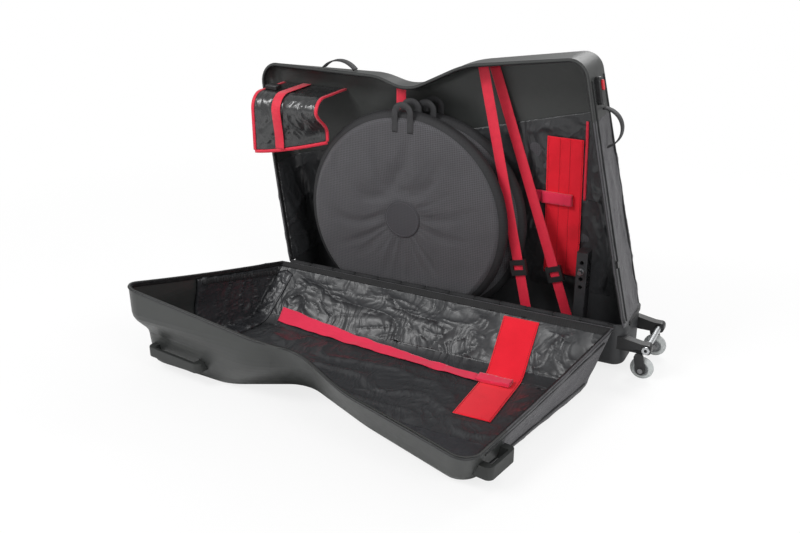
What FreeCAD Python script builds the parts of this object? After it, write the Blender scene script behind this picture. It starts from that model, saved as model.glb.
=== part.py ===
"""Hard and soft shelled travel case for a bicycle, standing open with its lid on the floor.

Millimetres. +X runs to the wheeled tail end, +Y to the back wall, +Z up.
The origin is on the floor, in the middle of the front runner's sole.
"""
import FreeCAD, Part
import math
import os
import Sketcher
from FreeCAD import Placement, Rotation, Vector

SIZES = {
    # case outline seen from the front: feet, shoulders, knees and the dip between them
    "hinge_y": -30, "hinge_z": 150,
    "foot_left_x": -432, "foot_right_x": 628,
    "shoulder_left_x": -590, "shoulder_left_z": 738,
    "knee_left_x": -150, "knee_left_z": 746,
    "dip_x": -45, "dip_z": 718,
    "knee_right_x": 135, "knee_right_z": 808,
    "shoulder_right_x": 480, "shoulder_right_z": 864,
    "shoulder_round": 50, "knee_left_round": 200, "dip_round": 130, "knee_right_round": 300,
    # parting face and back face, by their depth over the hinge line and at the shoulders
    "parting_left_y": 93, "parting_right_y": -74, "parting_gap": 1,
    "back_base_y": 165, "back_left_y": 125, "back_right_y": 91, "back_edge_round": 34,
    # lid: its outer face, which lies on the floor when open
    "lid_foot_gap": 8, "lid_slope_top_z": 300, "lid_rim_left_x": -452, "lid_rim_right_x": 602,
    "lid_shoulder_left_x": -600, "lid_shoulder_left_z": 655,
    "lid_knee_left_x": -300, "lid_knee_left_z": 675,
    "lid_dip_x": -105, "lid_dip_z": 575,
    "lid_knee_right_x": 135, "lid_knee_right_z": 690, "lid_knee_right_round": 600,
    "lid_shoulder_right_x": 452, "lid_shoulder_right_z": 815,
    "lid_foot_left_x": -490, "lid_foot_right_x": 562,
    "lid_shoulder_round": 50, "lid_knee_left_round": 150, "lid_dip_round": 110, "lid_edge_round": 24,
    "lid_step_low": 96, "lid_step_high": 190, "lid_knee_step_high": 130, "loft_end_y": 130,
    # walls, lining and trim
    "wall": 4, "lining": 1.5, "tape_width": 14, "tape_thickness": 2,
    "shell_line_left_z": 510, "shell_line_right_z": 745, "gusset_width": 45,
    "overrun": 60, "seat_gap": 0.3,
    # tub
    "tub_lip": 1, "tub_front_y": -20, "tub_bottom_z": 24, "tub_wall": 5, "tub_bottom_round": 16,
    "trim_height": 12, "trim_thickness": 3, "trim_front_y": 20,
    "runner_length": 700, "runner_width": 34, "runner_spacing": 125, "runner_ramp": 40,
    # hinge
    "cord_radius": 5, "sleeve_radius": 7.5, "sleeve_clearance": 0.08,
    "sleeve_pitch": 78, "sleeve_space": 6, "sleeve_tab": 4.5, "cord_inset": 8,
    # tail bar, brackets and wheels
    "bar_x": 688, "bar_z": 92, "bar_radius": 8, "bar_bore": 6.5, "cap_radius": 11, "cap_length": 6,
    "bracket_width": 26, "bracket_height": 56, "bracket_nose": 14, "bracket_nose_round": 10,
    "wheel_x": 680, "near_wheel_y": -4, "far_wheel_y": 148, "wheel_radius": 32, "wheel_width": 24,
    "tread_round": 10, "hub_radius": 19, "hub_bore": 11, "bearing_width": 7, "axle_radius": 4,
    "axle_head_radius": 7, "axle_head_height": 4, "arm_thickness": 8, "arm_width": 26, "wheel_clearance": 1,
    "arm_top_x": 672, "arm_top_z": 68, "running_clearance": 0.05,
    # stand for the frame's rear end
    "rail_left_x": 374, "rail_right_x": 600, "rail_y": 51, "rail_base_width": 44, "rail_base_height": 4,
    "rail_web_width": 14, "rail_web_height": 8, "rail_flange_width": 28, "rail_flange_height": 5,
    "slide_clearance": 0.4,
    "tower_x": 482, "tower_width": 32, "tower_depth": 42, "tower_top_z": 320, "tower_round": 3,
    "foot_width": 58, "foot_depth": 60, "foot_height": 62, "foot_chamfer": 9,
    "axle_bore_radius": 6.1, "axle_bore_pitch": 24, "axle_bore_top": 30, "recess_width": 24, "recess_height": 12,
    "recess_depth": 6,
    "adapter_radius": 6, "adapter_flange_radius": 9, "adapter_flange": 4, "adapter_nose": 14,
    # webbing and straps
    "strap_width": 30, "strap_thickness": 2, "tie_head_z": 800,
    "tie_front_y": 44, "tie_front_foot_x": 345, "tie_front_head_x": 168,
    "tie_rear_y": 96, "tie_rear_foot_x": 455, "tie_rear_head_x": 178,
    "buckle_width": 46, "buckle_depth": 13, "buckle_height": 46, "buckle_front_z": 238, "buckle_rear_z": 215,
    "band_width": 104, "band_thickness": 2, "back_band_x": 338, "back_band_low_z": 195, "back_band_high_z": 612,
    "cinch_width": 34, "cinch_z": 432, "cinch_left_x": 285, "cinch_fold": 9, "cinch_fold_length": 88,
    "lid_band_x": 298, "lid_band_low_z": 182, "lid_band_high_z": 535,
    "lid_cinch_left_x": -385, "lid_cinch_left_z": 282, "lid_cinch_right_z": 344, "lid_cinch_fold_length": 96,
    "top_strap_x": -82, "top_strap_y": 53, "top_strap_low_z": 640,
    # handles and lock
    "handle_width": 25, "handle_thickness": 4, "handle_root": 12,
    "top_handle_x": -290, "top_handle_y": 70, "top_handle_length": 130, "top_handle_rise": 30,
    "tail_loop_z": 678, "tail_loop_y": 12, "tail_loop_length": 105, "tail_loop_rise": 48,
    "lock_z": 774, "lock_y": -12, "lock_length": 72, "lock_width": 30, "lock_depth": 15, "lock_round": 5,
    "button_rise": 14, "button_length": 26, "button_width": 14, "button_depth": 6, "button_proud": 4,
    "button_travel": 3, "button_clearance": 0.4,
    # lid pockets, grips and zip sliders
    "pocket_depth": 6, "pocket_left_x": -30, "pocket_right_x": 436, "pocket_low_z": 640,
    "side_pocket_low_z": 190, "side_pocket_high_z": 490,
    "grip_left_x": -548, "grip_right_x": -353, "grip_y": -120, "grip_width": 28, "grip_bar": 10,
    "grip_stand": 27, "grip_foot": 22, "grip_round": 18,
    "rear_grip_low_z": 690, "rear_grip_high_z": 800, "rear_grip_y": -130, "rear_grip_width": 34,
    "rear_grip_stand": 32, "rear_grip_bar": 10, "rear_grip_foot": 20, "rear_grip_round": 16,
    "slider_length": 18, "slider_width": 11, "slider_height": 7, "slider_gap": 0.8, "slider_edge": 4,
    "main_slider_z": 330, "pocket_slider_x": 390, "pocket_slider_y": -100,
    # wheel bags
    "bag_front_x": -48, "bag_front_y": 20, "bag_front_radius": 316, "bag_front_thickness": 60,
    "bag_rear_x": -8, "bag_rear_y": 86, "bag_rear_radius": 308, "bag_rear_thickness": 56,
    "patch_radius": 58, "patch_thickness": 2,
    "bag_handle_spread": 66, "bag_front_handle_rise": 28, "bag_rear_handle_rise": 42, "bag_handle_root": 60,
    "bag_handle_width": 18, "bag_handle_thickness": 3,
    # wrap for the handlebar
    "wrap_left_x": -514, "wrap_right_x": -306, "wrap_thickness": 6, "wrap_front_y": -58, "wrap_low_z": 512,
    "wrap_shoulder_z": 630, "wrap_bend": 48, "wrap_binding": 9, "wrap_binding_proud": 1, "wrap_strap_x": -436,
    "wrap_buckle_length": 40, "wrap_buckle_height": 13, "wrap_buckle_width": 30, "wrap_buckle_y": 6,
}

doc = FreeCAD.newDocument("bike_travel_case")


def make_sheet(sizes):
    """Spreadsheet with one named size in each row."""
    made = doc.addObject("Spreadsheet::Sheet", "sizes")
    for row, (name, value) in enumerate(sizes.items(), start=1):
        made.set(f"A{row}", name)
        made.set(f"B{row}", str(value))
        made.setAlias(f"B{row}", name)
    doc.recompute()
    return made


class Cell:
    """A number read from the sheet, with the expression that gives it."""

    def __init__(self, value, text):
        self.value = value
        self.text = text

    def joined(self, other, sign, value):
        return Cell(value, f"({self.text} {sign} {as_cell(other).text})")

    def __add__(self, other):
        return self.joined(other, "+", self.value + as_cell(other).value)

    def __sub__(self, other):
        return self.joined(other, "-", self.value - as_cell(other).value)

    def __mul__(self, other):
        return self.joined(other, "*", self.value * as_cell(other).value)

    def __truediv__(self, other):
        return self.joined(other, "/", self.value / as_cell(other).value)

    def __neg__(self):
        return Cell(-self.value, f"(-{self.text})")


def as_cell(number):
    """A plain number as a cell, and a cell as it is."""
    if isinstance(number, Cell):
        return number
    return Cell(float(number), str(number))


class Cells:
    """Cells of the sheet by name."""

    def __getattr__(self, name):
        return Cell(float(sheet.get(name)), f"sizes.{name}")


class Values:
    """Numbers of the sheet by name."""

    def __getattr__(self, name):
        return float(sheet.get(name))


sheet = make_sheet(SIZES)
cell = Cells()
size = Values()
ZERO = as_cell(0)
nodes = []


def keep(name, obj):
    """Name a finished piece and list it for export."""
    obj.Label = name
    nodes.append(obj)
    return obj


def piece(name, shape):
    """A piece whose form is made with shape functions."""
    obj = doc.addObject("Part::Feature", name)
    obj.Shape = shape
    return keep(name, obj)


def bind(obj, **cells):
    """Tie properties of an object to the sheet; two underscores stand for a dot."""
    for name, bound in cells.items():
        obj.setExpression(name.replace("__", "."), bound.text)


def place(obj, x=ZERO, y=ZERO, z=ZERO):
    """Tie an object's position to the sheet."""
    bind(obj, Placement__Base__x=x, Placement__Base__y=y, Placement__Base__z=z)


def group(name, members):
    """Several like solids as one piece."""
    obj = doc.addObject("Part::Compound", name)
    obj.Links = members
    return keep(name, obj)


# Sketches and solid features

def new_body(name):
    return doc.addObject("PartDesign::Body", name)


def new_sketch(body, role, name, height=None):
    """Sketch on one of the body's origin planes, lifted along its normal."""
    sketch = body.newObject("Sketcher::SketchObject", name)
    plane = next(item for item in body.Origin.OriginFeatures if item.Role == role)
    sketch.AttachmentSupport = [(plane, "")]
    sketch.MapMode = "FlatFace"
    if height is not None:
        sketch.setExpression("AttachmentOffset.Base.z", height.text)
    return sketch


def pin(sketch, kind, line, point, value):
    """Hold a point of a line at a distance from the sketch's origin."""
    rule = sketch.addConstraint(Sketcher.Constraint(kind, -1, 1, line, point, value.value))
    sketch.setExpression(f"Constraints[{rule}]", value.text)


def polygon(sketch, corners):
    """Closed outline through corners given as pairs of cells."""
    first = sketch.GeometryCount
    count = len(corners)
    points = [Vector(u.value, v.value, 0) for u, v in corners]
    for i in range(count):
        sketch.addGeometry(Part.LineSegment(points[i], points[(i + 1) % count]), False)
    for i in range(count):
        following = first + (i + 1) % count
        sketch.addConstraint(Sketcher.Constraint("Coincident", first + i, 2, following, 1))
    for i, (u, v) in enumerate(corners):
        pin(sketch, "DistanceX", first + i, 1, u)
        pin(sketch, "DistanceY", first + i, 1, v)


def rectangle(sketch, low_u, low_v, high_u, high_v):
    polygon(sketch, [(low_u, low_v), (high_u, low_v), (high_u, high_v), (low_u, high_v)])


def circle(sketch, u, v, radius):
    middle = Vector(u.value, v.value, 0)
    ring = sketch.addGeometry(Part.Circle(middle, Vector(0, 0, 1), radius.value), False)
    pin(sketch, "DistanceX", ring, 3, u)
    pin(sketch, "DistanceY", ring, 3, v)
    rule = sketch.addConstraint(Sketcher.Constraint("Radius", ring, radius.value))
    sketch.setExpression(f"Constraints[{rule}]", radius.text)


def pad(body, sketch, length, middle=False):
    feature = body.newObject("PartDesign::Pad", sketch.Name + "_pad")
    feature.Profile = sketch
    feature.Midplane = middle
    feature.setExpression("Length", length.text)
    doc.recompute()
    return feature


def pocket(body, sketch, length, middle=False, turned=False):
    feature = body.newObject("PartDesign::Pocket", sketch.Name + "_cut")
    feature.Profile = sketch
    feature.Midplane = middle
    feature.Reversed = turned
    feature.setExpression("Length", length.text)
    before = body.Shape.Volume
    doc.recompute()
    if body.Shape.Volume >= before:
        raise RuntimeError(sketch.Name + " cuts nothing")
    return feature


def revolution(body, sketch, axis="V_Axis"):
    feature = body.newObject("PartDesign::Revolution", sketch.Name + "_turn")
    feature.Profile = sketch
    feature.ReferenceAxis = (sketch, [axis])
    doc.recompute()
    return feature


def dress(body, base, kind, property_name, amount, wanted):
    """Fillet or chamfer on the edges of the base that a test picks."""
    names = [f"Edge{i}" for i, edge in enumerate(base.Shape.Edges, start=1) if wanted(edge)]
    feature = body.newObject(kind, base.Name + "_edge")
    feature.Base = (base, names)
    feature.setExpression(property_name, amount.text)
    doc.recompute()
    return feature


def runs_along(edge, axis):
    """Whether a straight edge lies along an axis."""
    if edge.Curve.TypeId != "Part::GeomLine":
        return False
    return abs(abs(edge.Curve.Direction.dot(axis)) - 1) < 1e-6


# Case outline, parting face and back face

def outline(foot_z, left_x=None, right_x=None):
    """Corners of the case seen from the front, from the left foot round by the right: x, z, round."""
    left_x = size.foot_left_x if left_x is None else left_x
    right_x = size.foot_right_x if right_x is None else right_x
    left_run = (size.shoulder_left_x - left_x) / (size.shoulder_left_z - size.hinge_z)
    right_run = (size.shoulder_right_x - right_x) / (size.shoulder_right_z - size.hinge_z)
    drop = foot_z - size.hinge_z
    return [
        (left_x + left_run * drop, foot_z, 0),
        (right_x + right_run * drop, foot_z, 0),
        (size.shoulder_right_x, size.shoulder_right_z, size.shoulder_round),
        (size.knee_right_x, size.knee_right_z, size.knee_right_round),
        (size.dip_x, size.dip_z, size.dip_round),
        (size.knee_left_x, size.knee_left_z, size.knee_left_round),
        (size.shoulder_left_x, size.shoulder_left_z, size.shoulder_round),
    ]


def turn_at(corners, i):
    """Directions into and out of a corner, and the cross product that tells its hand."""
    count = len(corners)
    here = Vector(corners[i][0], corners[i][1], 0)
    before = Vector(corners[i - 1][0], corners[i - 1][1], 0)
    after = Vector(corners[(i + 1) % count][0], corners[(i + 1) % count][1], 0)
    into = (here - before).normalize()
    out = (after - here).normalize()
    return here, into, out, into.x * out.y - into.y * out.x


def inset(corners, distance):
    """The outline moved inwards, with its rounds kept concentric."""
    moved = []
    for i, (_, _, radius) in enumerate(corners):
        here, into, out, hand = turn_at(corners, i)
        half = (Vector(-into.y, into.x, 0) + Vector(-out.y, out.x, 0)).normalize()
        share = half.dot(Vector(-into.y, into.x, 0))
        point = here + half * (distance / share)
        rounded = 0
        if radius > 0:
            rounded = radius - math.copysign(distance, hand)
        moved.append((point.x, point.y, rounded))
    return moved


def rounded_wire(corners, y):
    """Closed wire in the plane of one depth, with an arc at each corner that has a round."""
    spans = []
    for i, (_, _, radius) in enumerate(corners):
        here, into, out, _ = turn_at(corners, i)
        if radius <= 0:
            spans.append((here, None, here))
            continue
        half_turn = into.getAngle(out) / 2
        reach = radius * math.tan(half_turn)
        toward = (out - into).normalize()
        middle = here + toward * (radius / math.cos(half_turn) - radius)
        spans.append((here - into * reach, middle, here + out * reach))
    edges = []
    for i, (start, middle, end) in enumerate(spans):
        points = [Vector(p.x, y, p.y) for p in (start, middle, end) if p is not None]
        if middle is not None:
            edges.append(Part.Arc(*points).toShape())
        following = spans[(i + 1) % len(spans)][0]
        edges.append(Part.LineSegment(points[-1], Vector(following.x, y, following.y)).toShape())
    return Part.Wire(edges)


def twisted(base_y, left_y, right_y):
    """Depth of a face that is straight at the hinge line and leans differently at each shoulder."""
    left = (left_y - base_y) / (size.shoulder_left_z - size.hinge_z)
    right = (right_y - base_y) / (size.shoulder_right_z - size.hinge_z)
    span = size.shoulder_right_x - size.shoulder_left_x

    def depth(x, z):
        lean = left + (right - left) * (x - size.shoulder_left_x) / span
        return base_y + lean * (z - size.hinge_z)
    return depth


parting_y = twisted(size.hinge_y, size.parting_left_y, size.parting_right_y)
back_y = twisted(size.back_base_y, size.back_left_y, size.back_right_y)
FAR = size.shoulder_right_z
EDGE_STEPS = 3
WALL_STEPS = 12


def twisted_block(depth, shift, side):
    """Solid beyond a twisted face moved by a shift, on its +1 or -1 side."""
    ends = []
    for x in (-FAR, FAR):
        corners = [Vector(x, depth(x, z) + shift, z) for z in (-FAR, FAR + FAR)]
        corners += [Vector(x, side * FAR, z) for z in (FAR + FAR, -FAR)]
        ends.append(Part.makePolygon(corners + corners[:1]))
    return Part.makeLoft(ends, True, True)


def rounded_rim(solid, radius, on_face):
    """Round the edges of one face of a solid, apart from its lowest edge."""
    chosen = [face for face in solid.Faces if on_face(face)]
    edges = []
    for face in chosen:
        lowest = min(edge.CenterOfMass.z for edge in face.Edges)
        edges += [edge for edge in face.Edges if edge.CenterOfMass.z > lowest + size.wall]
    return solid.makeFillet(radius, edges)


def back_block(depth_in):
    """Back half as a full solid, moved inwards by a depth on its walls and back."""
    foot = size.hinge_z if depth_in == 0 else size.hinge_z - size.overrun
    corners = inset(outline(foot), depth_in)
    if depth_in == 0:
        corners = outline(foot)
    front = size.hinge_y - size.hinge_z
    face = Part.Face(rounded_wire(corners, front))
    block = face.extrude(Vector(0, FAR, 0))
    block = block.cut(twisted_block(back_y, -depth_in, 1))
    rear = max(block.Faces, key=lambda item: item.CenterOfMass.y)
    block = rounded_rim(block, size.back_edge_round - depth_in, rear.isSame)
    return block


def lid_corners():
    """Corners of the lid's outer face, each with the rim's corner above it."""
    rim = outline(size.hinge_z + size.lid_foot_gap, size.lid_rim_left_x, size.lid_rim_right_x)
    face = [
        (size.lid_foot_left_x, size.lid_slope_top_z, 0),
        (size.lid_foot_right_x, size.lid_slope_top_z, 0),
        (size.lid_shoulder_right_x, size.lid_shoulder_right_z, size.lid_shoulder_round),
        (size.lid_knee_right_x, size.lid_knee_right_z, size.lid_knee_right_round),
        (size.lid_dip_x, size.lid_dip_z, size.lid_dip_round),
        (size.lid_knee_left_x, size.lid_knee_left_z, size.lid_knee_left_round),
        (size.lid_shoulder_left_x, size.lid_shoulder_left_z, size.lid_shoulder_round),
    ]
    return zip(face, rim)


def lid_floor_y():
    """Depth of the closed lid's outer face, which meets the floor when the lid lies open."""
    return size.hinge_y - size.hinge_z


def eased(depth, low, high):
    """Smooth rise from 0 to 1 between two depths."""
    share = min(1, max(0, (depth - low) / (high - low)))
    return share * share * (3 - 2 * share)


KNEE_LEFT, SHOULDER_LEFT, FOOT_RIGHT, SHOULDER_RIGHT, KNEE_RIGHT = 5, 6, 1, 2, 3
STEP_LEAN_SHARE = 0.12


def lid_section(y):
    """Corners of the lid at one depth. The left ones step in under the rim, to make room for the grip."""
    depth = y - lid_floor_y()
    round_share = depth / (size.loft_end_y - lid_floor_y())
    steps = {KNEE_LEFT: (0, size.lid_knee_step_high), SHOULDER_LEFT: (size.lid_step_low, size.lid_step_high)}
    section = []
    for i, (face, rim) in enumerate(lid_corners()):
        share = depth / (parting_y(rim[0], rim[1]) - lid_floor_y())
        if i in steps:
            share = STEP_LEAN_SHARE * min(1, share) + (1 - STEP_LEAN_SHARE) * eased(depth, *steps[i])
        section.append((face[0] + (rim[0] - face[0]) * share, face[1] + (rim[1] - face[1]) * share,
                        face[2] + (rim[2] - face[2]) * round_share))
    return section


def lid_block(depth_in):
    """Closed lid as a full solid that runs past the parting face, moved inwards by a depth."""
    floor = lid_floor_y() + depth_in
    edge = size.lid_edge_round - depth_in
    wires = []
    for step in range(EDGE_STEPS + 1):
        angle = math.pi / 2 * step / EDGE_STEPS
        y = floor + edge * (1 - math.cos(angle))
        wires.append(rounded_wire(inset(lid_section(y), depth_in + edge * (1 - math.sin(angle))), y))
    base = lid_floor_y() + size.lid_edge_round
    top = lid_floor_y() + size.lid_step_high
    for step in range(1, WALL_STEPS + 1):
        y = base + (top - base) * step / WALL_STEPS
        wires.append(rounded_wire(inset(lid_section(y), depth_in), y))
    wires.append(rounded_wire(inset(lid_section(size.loft_end_y), depth_in), size.loft_end_y))
    return Part.makeLoft(wires, True, True)


def prism(points, low_y=None, high_y=None):
    """Solid with an outline of x and z points, through the whole depth or between two depths."""
    low = -FAR if low_y is None else low_y
    high = FAR if high_y is None else high_y
    corners = [Vector(x, low, z) for x, z in points]
    return Part.Face(Part.makePolygon(corners + corners[:1])).extrude(Vector(0, high - low, 0))


def upright_box(low_x, low_z, high_x, high_z, low_y=None, high_y=None):
    return prism([(low_x, low_z), (high_x, low_z), (high_x, high_z), (low_x, high_z)], low_y, high_y)


def hard_zone():
    """Everything above the slanting lower edge of the hard top shells."""
    reach = FAR + FAR
    run = (size.shell_line_right_z - size.shell_line_left_z) / (size.shoulder_right_x - size.shoulder_left_x)
    left = size.shell_line_left_z - run * reach
    right = size.shell_line_left_z + run * (reach - size.shoulder_left_x)
    return prism([(-reach, left), (reach, right), (reach, reach + reach), (-reach, reach + reach)])


def end_zone(side):
    """Everything beyond the seam of the left (-1) or right (+1) end gusset."""
    corners = inset(outline(size.hinge_z - size.overrun), size.gusset_width)
    low, high = (corners[0], corners[-1]) if side < 0 else (corners[1], corners[2])
    run = (high[0] - low[0]) / (high[1] - low[1])
    reach = FAR + FAR
    foot = low[0] - run * reach
    head = low[0] + run * reach
    middle = low[1]
    return prism([(foot, middle - reach), (head, middle + reach),
                  (side * reach, middle + reach), (side * reach, middle - reach)])


gap = size.parting_gap
behind_lid = twisted_block(parting_y, gap / 2, -1)
before_back = twisted_block(parting_y, -gap / 2, 1)
back_solids = {}
lid_solids = {}


def back_inside(depth_in):
    if depth_in not in back_solids:
        back_solids[depth_in] = back_block(depth_in)
    return back_solids[depth_in]


def lid_inside(depth_in):
    if depth_in not in lid_solids:
        lid_solids[depth_in] = lid_block(depth_in)
    return lid_solids[depth_in]


def back_layer(outer, inner):
    """Skin of the back half between two depths, behind the parting face."""
    return back_inside(outer).cut(back_inside(inner)).cut(behind_lid)


def lid_layer(outer, inner):
    """Skin of the closed lid between two depths, in front of the parting face."""
    return lid_inside(outer).cut(lid_inside(inner)).cut(before_back)


def opened(shape):
    """The lid's shapes turned from closed to lying open on the floor."""
    turned = shape.copy()
    turned.rotate(Vector(0, size.hinge_y, size.hinge_z), Vector(1, 0, 0), 90)
    return turned


def lid_piece(name, shape):
    return piece(name, opened(shape))


LINED = size.wall + size.lining
BANDED = LINED + size.band_thickness
ABOVE_TUB = upright_box(-FAR, size.hinge_z, FAR, FAR + FAR)
hard = hard_zone()
left_end = end_zone(-1)
right_end = end_zone(1)

# Back half: hard top shell, fabric back and gussets, lining and zip tape
back_wall = back_layer(0, size.wall)
piece("back_top_shell", back_wall.common(hard))
back_soft = back_wall.cut(hard)
piece("back_left_gusset", back_soft.common(left_end))
piece("back_right_gusset", back_soft.common(right_end))
piece("back_panel", back_soft.cut(left_end).cut(right_end))
tape_back = twisted_block(parting_y, gap / 2 + size.tape_width, -1)
back_tape = back_layer(size.wall, size.wall + size.tape_thickness).common(ABOVE_TUB)
piece("back_zip_tape", back_tape.common(tape_back))
back_skin = back_layer(size.wall, LINED).common(ABOVE_TUB)
piece("back_liner", back_skin.cut(tape_back).cut(hard))

# Lid, drawn closed and laid open
lid_wall = lid_layer(0, size.wall)
lid_piece("lid_front_shell", lid_wall.common(hard))
lid_soft = lid_wall.cut(hard)
lid_piece("lid_left_gusset", lid_soft.common(left_end))
lid_piece("lid_right_gusset", lid_soft.common(right_end))
lid_piece("lid_panel", lid_soft.cut(left_end).cut(right_end))
tape_lid = twisted_block(parting_y, -gap / 2 - size.tape_width, 1)
lid_piece("lid_zip_tape", lid_layer(size.wall, size.wall + size.tape_thickness).common(tape_lid))
lid_piece("lid_liner", lid_layer(size.wall, LINED).cut(tape_lid).cut(hard.common(left_end)))

# Tub with its edge trim and runners

TUB_FLOOR = size.tub_bottom_z + size.tub_wall


def tub_block(depth_in, top_z):
    """Rounded block of the tub, moved inwards by a depth."""
    low = Vector(size.foot_left_x - size.tub_lip + depth_in, size.tub_front_y + depth_in,
                 size.tub_bottom_z + depth_in)
    high = Vector(size.foot_right_x + size.tub_lip - depth_in, size.back_base_y - depth_in, top_z)
    span = high - low
    block = Part.makeBox(span.x, span.y, span.z, low)
    upright = [edge for edge in block.Edges if runs_along(edge, Vector(0, 0, 1))]
    block = block.makeFillet(size.back_edge_round + size.tub_lip - depth_in, upright)
    bottom = [edge for edge in block.Edges if edge.BoundBox.ZMax < low.z + size.tub_wall / 2]
    return block.makeFillet(size.tub_bottom_round - depth_in, bottom)


tub_outer = doc.addObject("Part::Feature", "tub_outer")
tub_outer.Shape = tub_block(0, size.hinge_z)
piece("base_tub", tub_outer.Shape.cut(tub_block(size.tub_wall, size.hinge_z + size.overrun)))
trim_zone = Part.makeBox(FAR * 2, FAR, size.trim_height,
                         Vector(-FAR, size.trim_front_y, size.hinge_z - size.trim_height))
piece("tub_edge_trim", tub_block(-size.trim_thickness, size.hinge_z).cut(tub_outer.Shape).common(trim_zone))


def runner(name, y):
    """Skid under the tub, with a ramp at each end and a flat sole on the floor."""
    body = new_body(name)
    sketch = new_sketch(body, "XZ_Plane", name + "_side")
    half = cell.runner_length / 2
    sole = half - cell.runner_ramp
    polygon(sketch, [(-sole, ZERO), (sole, ZERO), (half, cell.tub_bottom_z), (-half, cell.tub_bottom_z)])
    pad(body, sketch, cell.runner_width, middle=True)
    place(body, y=y)
    return body


group("base_runners", [runner("front_runner", ZERO), runner("rear_runner", cell.runner_spacing)])

# Hinge: a cord held in sleeves that belong in turn to the tub and to the lid

CORD_LEFT = cell.foot_left_x + cell.cord_inset
CORD_RIGHT = cell.lid_rim_right_x - cell.cord_inset


def rod_x(name, radius, left, right, y, z):
    rod = doc.addObject("Part::Cylinder", name)
    rod.Placement.Rotation = Rotation(Vector(0, 1, 0), 90)
    bind(rod, Radius=radius, Height=right - left)
    place(rod, left, y, z)
    return rod


def rod_y(name, radius, length, x, y, z):
    rod = doc.addObject("Part::Cylinder", name)
    rod.Placement.Rotation = Rotation(Vector(1, 0, 0), -90)
    bind(rod, Radius=radius, Height=length)
    place(rod, x, y, z)
    return rod


keep("hinge_cord", rod_x("hinge_rod", cell.cord_radius, CORD_LEFT, CORD_RIGHT, cell.hinge_y, cell.hinge_z))


def sleeve(left, tab):
    """Short tube round the hinge cord with a sewn tab."""
    length = size.sleeve_pitch - size.sleeve_space
    base = Vector(left, size.hinge_y, size.hinge_z)
    ring = Part.makeCylinder(size.sleeve_radius, length, base, Vector(1, 0, 0))
    bore = Part.makeCylinder(size.cord_radius + size.sleeve_clearance, length, base, Vector(1, 0, 0))
    flap = Part.makeBox(length, tab[1].x - tab[0].x, tab[1].y - tab[0].y, Vector(left, tab[0].x, tab[0].y))
    return ring.fuse(flap).cut(bore).removeSplitter()


tub_tab = (Vector(size.hinge_y, size.hinge_z - size.sleeve_radius),
           Vector(size.tub_front_y, size.hinge_z - size.sleeve_radius + size.sleeve_tab))
lid_tab = (Vector(size.hinge_y - size.sleeve_radius, size.hinge_z),
           Vector(size.hinge_y - size.sleeve_radius + size.sleeve_tab, size.hinge_z + size.lid_foot_gap * 2))
places = []
sleeve_x = CORD_LEFT.value
while sleeve_x + size.sleeve_pitch <= CORD_RIGHT.value:
    places.append(sleeve_x)
    sleeve_x += size.sleeve_pitch
piece("tub_hinge_sleeves", Part.makeCompound([sleeve(x, tub_tab) for x in places[0::2]]))
lid_sleeves = [sleeve(x, lid_tab).cut(lid_inside(0)) for x in places[1::2]]
lid_piece("lid_hinge_sleeves", Part.makeCompound(lid_sleeves))

# Tail bar between two brackets, with a skate wheel under each

WHEEL_SIDES = (("near", cell.near_wheel_y, -1), ("far", cell.far_wheel_y, 1))
BAR_LOW = cell.near_wheel_y - cell.bracket_width / 2
BAR_HIGH = cell.far_wheel_y + cell.bracket_width / 2


def bracket(side, y):
    """Moulded nose on the tub's end wall with a bore for the bar."""
    body = new_body(side + "_bracket")
    sketch = new_sketch(body, "XZ_Plane", side + "_bracket_side")
    root = cell.foot_right_x - cell.back_edge_round
    tall = cell.bracket_height / 2
    nose = cell.bracket_nose
    tip = cell.bar_x + nose
    polygon(sketch, [(root, cell.bar_z - nose), (tip, cell.bar_z - nose), (tip, cell.bar_z + nose),
                     (cell.bar_x - nose, cell.bar_z + nose), (root, cell.bar_z + tall)])
    block = pad(body, sketch, cell.bracket_width, middle=True)
    rounded = dress(body, block, "PartDesign::Fillet", "Radius", cell.bracket_nose_round,
                    lambda edge: runs_along(edge, Vector(0, 1, 0)) and edge.CenterOfMass.x > size.bar_x)
    body.Tip = rounded
    bore = new_sketch(body, "XZ_Plane", side + "_bracket_bore")
    circle(bore, cell.bar_x, cell.bar_z, cell.bar_radius + cell.running_clearance)
    pocket(body, bore, cell.bracket_width * 2, middle=True)
    place(body, y=y)
    seated = doc.addObject("Part::Cut", side + "_bracket_seated")
    seated.Base = body
    seated.Tool = tub_outer
    return seated


group("bar_brackets", [bracket(side, y) for side, y, _ in WHEEL_SIDES])
bar_skin = rod_y("bar_skin", cell.bar_radius, BAR_HIGH - BAR_LOW, cell.bar_x, BAR_LOW, cell.bar_z)
bar_hollow = rod_y("bar_hollow", cell.bar_bore, BAR_HIGH - BAR_LOW, cell.bar_x, BAR_LOW, cell.bar_z)
bar = doc.addObject("Part::Cut", "bar_tube")
bar.Base = bar_skin
bar.Tool = bar_hollow
keep("tail_bar", bar)


def bar_cap(side, y):
    """Turned end ring with a screw hole."""
    ring = rod_y(side + "_cap_ring", cell.cap_radius, cell.cap_length, cell.bar_x, y, cell.bar_z)
    hole = rod_y(side + "_cap_hole", cell.axle_radius, cell.cap_length, cell.bar_x, y, cell.bar_z)
    cap = doc.addObject("Part::Cut", side + "_cap")
    cap.Base = ring
    cap.Tool = hole
    return cap


group("bar_end_caps", [bar_cap("near", BAR_LOW - cell.cap_length), bar_cap("far", BAR_HIGH)])


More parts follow.
